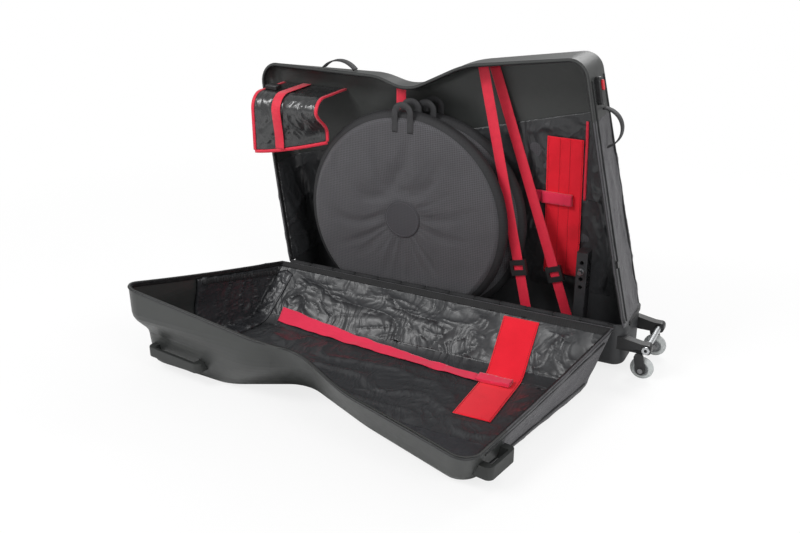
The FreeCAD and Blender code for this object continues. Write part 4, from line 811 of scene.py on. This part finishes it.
def laid_on(piece, points, aim, lift):
    """Points dropped along a direction onto a piece, and lifted back off it a little."""
    tree = BVHTree.FromPolygons([vert.co for vert in piece.data.vertices],
                                [poly.vertices for poly in piece.data.polygons])
    hits = [tree.ray_cast(point, aim)[0] for point in points]
    return [hit - aim * lift for hit in hits if hit is not None]


def on_back(piece, start, end, steps, lift):
    """Line from one x and z to another, dropped from the front onto a piece of the back half."""
    return laid_on(piece, straight((start[0], -0.4, start[1]), (end[0], -0.4, end[1]), steps), -FRONT, lift)


def on_lid(piece, start, end, steps, lift):
    """Line from one x and y to another, dropped from above onto a piece of the lid."""
    return laid_on(piece, straight((*start, 0.5), (*end, 0.5), steps), -UP, lift)


back_felt = soft_copy("back_hook_band", "back_band_felt", red_felt, "base", "hook_band", BAND_CELL,
                      waved(0.003, FRONT))
low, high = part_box("lid_hook_band")
middle = (low.x + high.x) / 2
over = on_lid(nodes["lid_hook_band"], (middle, high.y - 0.001), (middle, low.y + 0.001), 60, 0.0006)
lid_felt = ribbon("lid_band_felt", over, UP, high.x - low.x, 0.0026, red_felt, "lid", "hook_band",
                  "lid_hook_band")
mouth = straight((-0.2, -0.082, 0.128), (-0.2, -0.358, 0.190), 150)
mouth = laid_on(side_pocket, mouth, Vector((-1, 0, 0)), 0.003)
gathers = [point + Vector((0.0016 * math.sin(i * 1.25), 0, 0)) for i, point in enumerate(mouth)]
ribbon("side_pocket_hem", gathers, (1, 0, 0), 0.016, 0.004, sleeve_cloth, "lid", "liner")
soft_copy("back_cinch_strap", "back_cinch_felt", pink_felt, "base", "cinch", BAND_CELL, waved(0.0034, FRONT))
soft_copy("lid_cinch_strap", "lid_cinch_felt", pink_felt, "lid", "cinch", BAND_CELL, waved(0.0040, UP))
BAND_WIDTH, BACK_BAND_X, LID_BAND_X = 0.104, 0.338, 0.298
back_rows = [on_back(back_felt, (x, 0.200), (x, 0.607), 40, 0.0003)
             for x in [BACK_BAND_X + BAND_WIDTH * share for share in (0.04, 0.36, 0.64, 0.96)]]
lid_rows = [on_lid(lid_felt, (x, -0.07), (x, -0.41), 34, 0.0003)
            for x in [LID_BAND_X + BAND_WIDTH * share for share in (0.04, 0.96)]]
row_of_teeth("back_band_stitches", back_rows, "base", "hook_band", red_thread, STITCH_PITCH, STITCH)
row_of_teeth("lid_band_stitches", lid_rows, "lid", "hook_band", red_thread, STITCH_PITCH, STITCH)
side_tape = on_back(back_lining, (0.449, 0.436), (0.449, 0.665), 30, 0.002)
ribbon("back_side_tape", side_tape, FRONT, 0.008, 0.002, red_webbing, "base", "cinch")
seam = on_back(back_lining, (0.455, 0.440), (0.545, 0.440), 20, 0.0006)
tube("back_lining_seam", seam, 0.0012, trim_rubber, "base", "liner")

# Grips on the lid: rubbery bow handles on the front and the right wall, kept as built with well rounded
# edges.

grip_rubber = plastic("grip_rubber", (40, 42, 41), (56, 58, 57), 0.5)
paint(grip_rubber, 0.003, "lid_front_grip", "lid_rear_grip")

# Wheel bags: round padded bags of dotted ripstop, drawn in to a bound edge, with a round patch over
# the hub, radial creases, and a webbing handle on each face.

bag_cloth = cloth("bag_cloth", (58, 57, 61), (104, 103, 107), 0.56, yarn=0.0014, grid=0.0052, bump=0.5,
                  Sheen_Weight=0.2)
bag_binding = cloth("bag_binding", (36, 36, 38), (46, 46, 48), 0.7, yarn=0.0016, grid=0.009)
patch_cloth = cloth("patch_cloth", (62, 61, 65), (84, 83, 87), 0.58, yarn=0.0014, grid=0.0046)
stitch_thread = plastic("stitch_thread", (90, 89, 93), (110, 109, 113), 0.6, grain=900.0)
FLOOR_SEAT, HUB_SHARE, EDGE_SHARE, BAG_TAPER = 0.0293, 0.2, 0.9, 0.14 / 0.82


def arch(share, start, length):
    """Half wave over a stretch of the radius, nothing outside it."""
    return math.sin(math.pi * min(1.0, max(0.0, (share - start) / length)))


def bag_half(share, half):
    """Half thickness at a share of the radius: nearly flat, with a slight hollow, drawn in at the edge."""
    flat = 1 - BAG_TAPER * share - 0.1 * arch(share, 0.2, 0.55)
    return half * flat * math.sqrt(max(0.0, 1 - max(0.0, (share - 0.84) / 0.16) ** 2.2)) * 0.97


def around(centre, angle, radius, depth):
    """Point at an angle and a radius about a bag's axle."""
    return centre + Vector((math.cos(angle) * radius, depth, math.sin(angle) * radius))


def bridge(edit, inner, outer):
    """Faces between two closed loops of points."""
    for k in range(len(inner)):
        after = (k + 1) % len(inner)
        edit.faces.new((inner[k], outer[k], outer[after], inner[after]))


def settled(piece, held, frames, slack):
    """Let a sewn skin slacken under its own weight, held where it is seamed."""
    piece.vertex_groups.new(name="held").add(held, 1.0, "REPLACE")
    sewn = piece.modifiers.new("settle", "CLOTH")
    for key, value in {"vertex_group_mass": "held", "quality": 5, "mass": 0.05, "tension_stiffness": 20,
                       "compression_stiffness": 20, "shear_stiffness": 8, "bending_stiffness": 0.35,
                       "shrink_min": -slack}.items():
        setattr(sewn.settings, key, value)
    sewn.collision_settings.use_collision = False
    for number in range(1, frames + 1):
        scene.frame_set(number)
    mesh = as_made(piece)
    piece.modifiers.remove(sewn)
    piece.vertex_groups.clear()
    scene.frame_set(1)
    piece.data = mesh


def wheel_bag(node, name, centre, radius, thickness, seed):
    """Padded bag: two faces closed at the edge, creased from the hub outwards, slackened as cloth."""
    rings, spokes, half = 30, 128, thickness / 2
    angles = [math.tau * k / spokes for k in range(spokes)]
    edit = bmesh.new()
    held, sides = [], []
    for face_side in (-1, 1):
        loops = []
        for ring in range(1, rings):
            share = ring / rings
            loop = []
            for angle in angles:
                turn = Vector((math.cos(angle), math.sin(angle), 0))
                ray = turn * 2.2 + Vector((0, 0, seed + face_side))
                crease = 1 - abs(noise.noise(ray * 2.4 + Vector((0, 0, share * 1.3)))) * 1.8
                broad = noise.noise(turn * 1.3 + Vector((0, 0, seed * 1.7 + share * 0.6)))
                swell = 0.003 * max(0.0, crease) ** 3 + 0.008 * broad
                depth = bag_half(share, half) + arch(share, 0.18, 0.72) * swell
                if share < HUB_SHARE or share > EDGE_SHARE:
                    held.append(len(edit.verts))
                loop.append(edit.verts.new(around(centre, angle, radius * share, face_side * depth)))
            loops.append(loop)
        held.append(len(edit.verts))
        hub = edit.verts.new(centre + Vector((0, face_side * bag_half(0, half), 0)))
        for k in range(spokes):
            edit.faces.new((hub, loops[0][k], loops[0][(k + 1) % spokes]))
        for inner, outer in zip(loops, loops[1:]):
            bridge(edit, inner, outer)
        sides.append(loops[-1])
    held += range(len(edit.verts), len(edit.verts) + spokes)
    edge = [edit.verts.new(around(centre, angle, radius, 0)) for angle in angles]
    for loop in sides:
        bridge(edit, loop, edge)
    bmesh.ops.recalc_face_normals(edit, faces=edit.faces)
    bag = placed(name, mesh_of(edit, name))
    settled(bag, held, frames=16, slack=0.035)
    for vert in bag.data.vertices:
        away = vert.co - centre
        share = min(1.0, math.hypot(away.x, away.z) / radius)
        limit = half * (1 - BAG_TAPER * share) + 0.002
        least = 0.55 * bag_half(share, half)
        vert.co.y = centre.y + math.copysign(min(limit, max(least, abs(away.y))), away.y)
    bag.modifiers.new("smooth", "SUBSURF").levels = 1
    bag.data = as_made(bag)
    bag.modifiers.clear()
    settle(bag, bag_cloth, "base", "wheel_bag", node)


def edge_binding(name, centre, radius, thickness):
    """Folded tape sewn round a bag's edge."""
    lips = [(radius * share, bag_half(share, thickness / 2) + 0.0012) for share in (0.94, 0.965, 0.985)]
    profile = [(r, -depth) for r, depth in lips] + [(radius + 0.0006, 0.0)] + lips[::-1]
    edit = bmesh.new()
    loops = [[] for _ in profile]
    spokes = 160
    for k in range(spokes):
        for loop, (r, depth) in zip(loops, profile):
            loop.append(edit.verts.new(around(centre, math.tau * k / spokes, r, depth)))
    for lower, upper in zip(loops, loops[1:]):
        bridge(edit, lower, upper)
    bmesh.ops.recalc_face_normals(edit, faces=edit.faces)
    piece_from(edit, name, bag_binding, "base", "webbing")


HANDLE_SPREAD, HANDLE_ROOT, HANDLE_WIDTH, HANDLE_SEAT = 0.024, 0.060, 0.018, 0.0022
for label, x, y, radius, thickness, seed, over in (
        ("front", -0.048, 0.020, 0.316, 0.060, 4.0, 0.028),
        ("rear", -0.008, 0.086, 0.308, 0.056, 9.0, 0.042)):
    node = "wheel_bag_" + label
    centre = Vector((x, y, FLOOR_SEAT + radius))
    wheel_bag(node, node + "_cloth", centre, radius, thickness, seed)
    edge_binding(node + "_binding", centre, radius, thickness)
    foot = centre.z + radius - HANDLE_ROOT
    level = centre.z + radius + over - HANDLE_WIDTH / 2 - HANDLE_SPREAD
    for side, out, replaced in (("front", -1, ()), ("back", 1, (node + "_handles",))):
        face = y + out * (thickness / 2 - HANDLE_SEAT)
        left, right = x - HANDLE_SPREAD, x + HANDLE_SPREAD
        middle = Vector((x, face, level))
        path = straight((left, face, foot), (left, face, level), 10)
        path += [around(middle, math.pi * (1 - i / 16), HANDLE_SPREAD, 0) for i in range(1, 16)]
        path += straight((right, face, level), (right, face, foot), 10)
        ribbon(node + "_handle_" + side, path, (0, out, 0), HANDLE_WIDTH, 0.003, dark_webbing, "base",
               "webbing", *replaced)
PATCH, PATCH_SEAM, BAG_PITCH, BAG_STITCH = 0.056, 0.050, 0.0052, (0.0034, 0.0008, 0.0008)
low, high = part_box("wheel_bag_front_patch")
hub = (low + high) / 2
edit = bmesh.new()
bmesh.ops.create_circle(edit, cap_ends=True, radius=PATCH, segments=64)
for vert in edit.verts:
    vert.co = Vector((hub.x + vert.co.x, high.y, hub.z + vert.co.y))
for item in bmesh.ops.extrude_face_region(edit, geom=edit.faces[:])["geom"]:
    if isinstance(item, bmesh.types.BMVert):
        item.co = item.co.lerp(hub, 0.02)
        item.co.y = low.y
bmesh.ops.recalc_face_normals(edit, faces=edit.faces)
piece_from(edit, "front_bag_patch", patch_cloth, "base", "bag_patch", "wheel_bag_front_patch", smooth=False)
seat = Vector((hub.x, low.y - 0.0003, hub.z))
ring = [around(seat, math.tau * i / 96, PATCH_SEAM, 0) for i in range(97)]
row_of_teeth("front_bag_stitches", [ring], "base", "bag_patch", stitch_thread, BAG_PITCH, BAG_STITCH)

# Bar wrap: a coated sheet folded over the handlebar, bound in red, with a red strap over it and a black
# clip at its corner.

wrap_sheet = tarpaulin("wrap_sheet", (34, 35, 36), (64, 65, 66), 0.3, 26.0, 0.5, 0.008,
                       Specular_IOR_Level=0.8)
wrap_low, wrap_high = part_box("bar_wrap")
WRAP_FRONT, WRAP_SHOULDER, WRAP_BEND = -0.058, 0.630, 0.048
TUCK_BACK, TUCK_UP, DROOP, CREASE = 0.060, 0.030, 0.006, 0.0035
WRAP_BACK, WRAP_MARGIN, WRAP_EDGE = wrap_high.y - 0.004, 0.004, (0.010, 0.005)


def wrap_path(x, offset):
    """Outline of the wrap from its front hem up, over the bend and back, at an offset from its outside."""
    radius = WRAP_BEND - offset
    front, middle, top = WRAP_FRONT + offset, WRAP_FRONT + WRAP_BEND, WRAP_SHOULDER + radius
    path = straight((x, front, wrap_low.z), (x, front, WRAP_SHOULDER), 24)
    for i in range(1, 16):
        angle = math.pi / 2 * i / 16
        path.append(Vector((x, middle - math.cos(angle) * radius, WRAP_SHOULDER + math.sin(angle) * radius)))
    return path + straight((x, middle, top), (x, WRAP_BACK, top), 24)


def slung(point):
    """The wrap's point as it hangs: its right end tucked back and up, its left end drooping."""
    share = (point.x - wrap_low.x) / (wrap_high.x - wrap_low.x)
    drop = eased((WRAP_SHOULDER + 0.02 - point.z) / (WRAP_SHOULDER - wrap_low.z))
    tuck = max(0.0, min(1.05, share)) ** 1.6 * drop
    droop = (1 - max(-0.05, min(1.0, share))) ** 2 * drop
    return point + Vector((0, TUCK_BACK * tuck, TUCK_UP * tuck - DROOP * droop))


def outward_of(path):
    """Way out of the wrap at each point of a path along it."""
    ways = [heading(path, i) for i in range(len(path))]
    return [Vector((0, -along.z, along.y)) for along in ways]


def wrap_column(k, columns):
    """Points of the sheet's outer side along one of its columns, with its creases."""
    path = wrap_path(wrap_low.x + (wrap_high.x - wrap_low.x) * k / columns, 0.001)
    line = []
    for i, (spot, out) in enumerate(zip(path, outward_of(path))):
        edge = min(i, len(path) - 1 - i, k, columns - k)
        crease = folds(spot, (1.4, 1, 0.8), 17, 3)
        line.append(slung(spot - out * (CREASE * crease * eased(edge / 4))))
    return line


COLUMNS = 44
grid = list(zip(*[wrap_column(k, COLUMNS) for k in range(COLUMNS + 1)]))
edit = bmesh.new()
rows = [[edit.verts.new(point) for point in line] for line in grid]
for lower, upper in zip(rows, rows[1:]):
    for k in range(len(lower) - 1):
        edit.faces.new((lower[k], lower[k + 1], upper[k + 1], upper[k]))
bmesh.ops.recalc_face_normals(edit, faces=edit.faces)
wrap = piece_from(edit, "bar_wrap_sheet", wrap_sheet, "base", "wrap", "bar_wrap")
thick = wrap.modifiers.new("thickness", "SOLIDIFY")
thick.thickness, thick.offset = 0.003, -1
run = sum((b[0] - a[0]).length for a, b in zip(grid, grid[1:]))
ends = (wrap_low.x - WRAP_MARGIN, wrap_high.x + WRAP_MARGIN)
for label, x in zip(("left", "right"), ends):
    edge = [slung(point) for point in wrap_path(x, 0.002)]
    ribbon("bar_wrap_" + label + "_binding", edge, outward_of(edge), *WRAP_EDGE, red_webbing, "base",
           "wrap_binding")
corners = [(x, WRAP_FRONT + 0.002, wrap_low.z - WRAP_MARGIN) for x in ends]
hem = [slung(point) for point in straight(*corners, 24)]
ribbon("bar_wrap_hem", hem, FRONT, *WRAP_EDGE, red_webbing, "base", "wrap_binding", "bar_wrap_binding")
low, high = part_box("bar_wrap_strap")
over = [slung(point) for point in wrap_path((low.x + high.x) / 2, -0.001)]
ribbon("bar_wrap_strap_webbing", over, outward_of(over), STRAP, STRAP_THICK, red_webbing, "base", "cinch",
       "bar_wrap_strap")
paint(hardware_plastic, 0.0015, "bar_wrap_buckle")

# Studio: a pale floor that fades into the pale backdrop, soft light from above and both sides, and the
# camera where the photographer stood.

floor_paint = bpy.data.materials.new("floor_paint")
floor_paint.use_nodes = True
tree = floor_paint.node_tree
matt = tree.nodes["Principled BSDF"]
matt.inputs["Base Color"].default_value = (0.9, 0.9, 0.9, 1)
matt.inputs["Roughness"].default_value = 0.9
glow = add(tree, "ShaderNodeEmission", {"Color": (1, 1, 1, 1), "Strength": 1.0})
seen = add(tree, "ShaderNodeLightPath").outputs["Is Camera Ray"]
place = add(tree, "ShaderNodeTexCoord").outputs["Object"]
spread = add(tree, "ShaderNodeVectorMath", {0: place}, operation="LENGTH").outputs["Value"]
fade = add(tree, "ShaderNodeMapRange", {"Value": spread, 1: 0.8, 2: 2.2, 3: 0.8, 4: 1.0}).outputs[0]
blend = add(tree, "ShaderNodeMixShader", {0: math_node(tree, "MULTIPLY", fade, seen), 1: matt.outputs[0],
                                          2: glow.outputs[0]})
tree.links.new(blend.outputs[0], tree.nodes["Material Output"].inputs["Surface"])
floor_mesh = bpy.data.meshes.new("floor")
REACH = 30.0
floor_mesh.from_pydata([(-REACH, -REACH, 0), (REACH, -REACH, 0), (REACH, REACH, 0), (-REACH, REACH, 0)], [],
                       [(0, 1, 2, 3)])
floor_mesh.materials.append(floor_paint)
floor = placed("floor", floor_mesh)
floor.location.z = -0.0005

world = bpy.data.worlds.new("studio")
scene.world = world
world.use_nodes = True
sky = world.node_tree.nodes["Background"].inputs
sky["Color"].default_value = (1, 1, 1, 1)
seen = add(world.node_tree, "ShaderNodeLightPath").outputs["Is Camera Ray"]
world.node_tree.links.new(math_node(world.node_tree, "MULTIPLY_ADD", seen, 0.52, 0.48), sky["Strength"])


def soft_box(name, place, target, size, power):
    """Large soft light aimed at a point."""
    data = bpy.data.lights.new(name, "AREA")
    data.shape = "RECTANGLE"
    data.size, data.size_y = size
    data.energy = power
    lamp = placed(name, data)
    lamp.location = place
    lamp.rotation_euler = (Vector(target) - Vector(place)).to_track_quat("-Z", "Y").to_euler()


soft_box("key", (-1.6, -2.6, 3.0), (0, -0.2, 0.3), (1.5, 1.1), 80)
soft_box("fill", (2.6, -1.8, 2.2), (0.1, -0.1, 0.3), (1.4, 1.4), 35)
soft_box("rim", (0.6, 2.6, 2.6), (0, 0, 0.5), (2.4, 0.8), 60)

lens = bpy.data.cameras.new("camera")
lens.lens, lens.sensor_width = 43.317, 36.0
camera = placed("camera", lens)
YAW, PITCH = math.radians(26.707), math.radians(22.589)
look = Vector((-math.sin(YAW) * math.cos(PITCH), math.cos(YAW) * math.cos(PITCH), -math.sin(PITCH)))
camera.location = (1.132, -2.368, 1.293)
camera.rotation_euler = look.to_track_quat("-Z", "Y").to_euler()
scene.camera = camera
scene.view_settings.view_transform = "Standard"
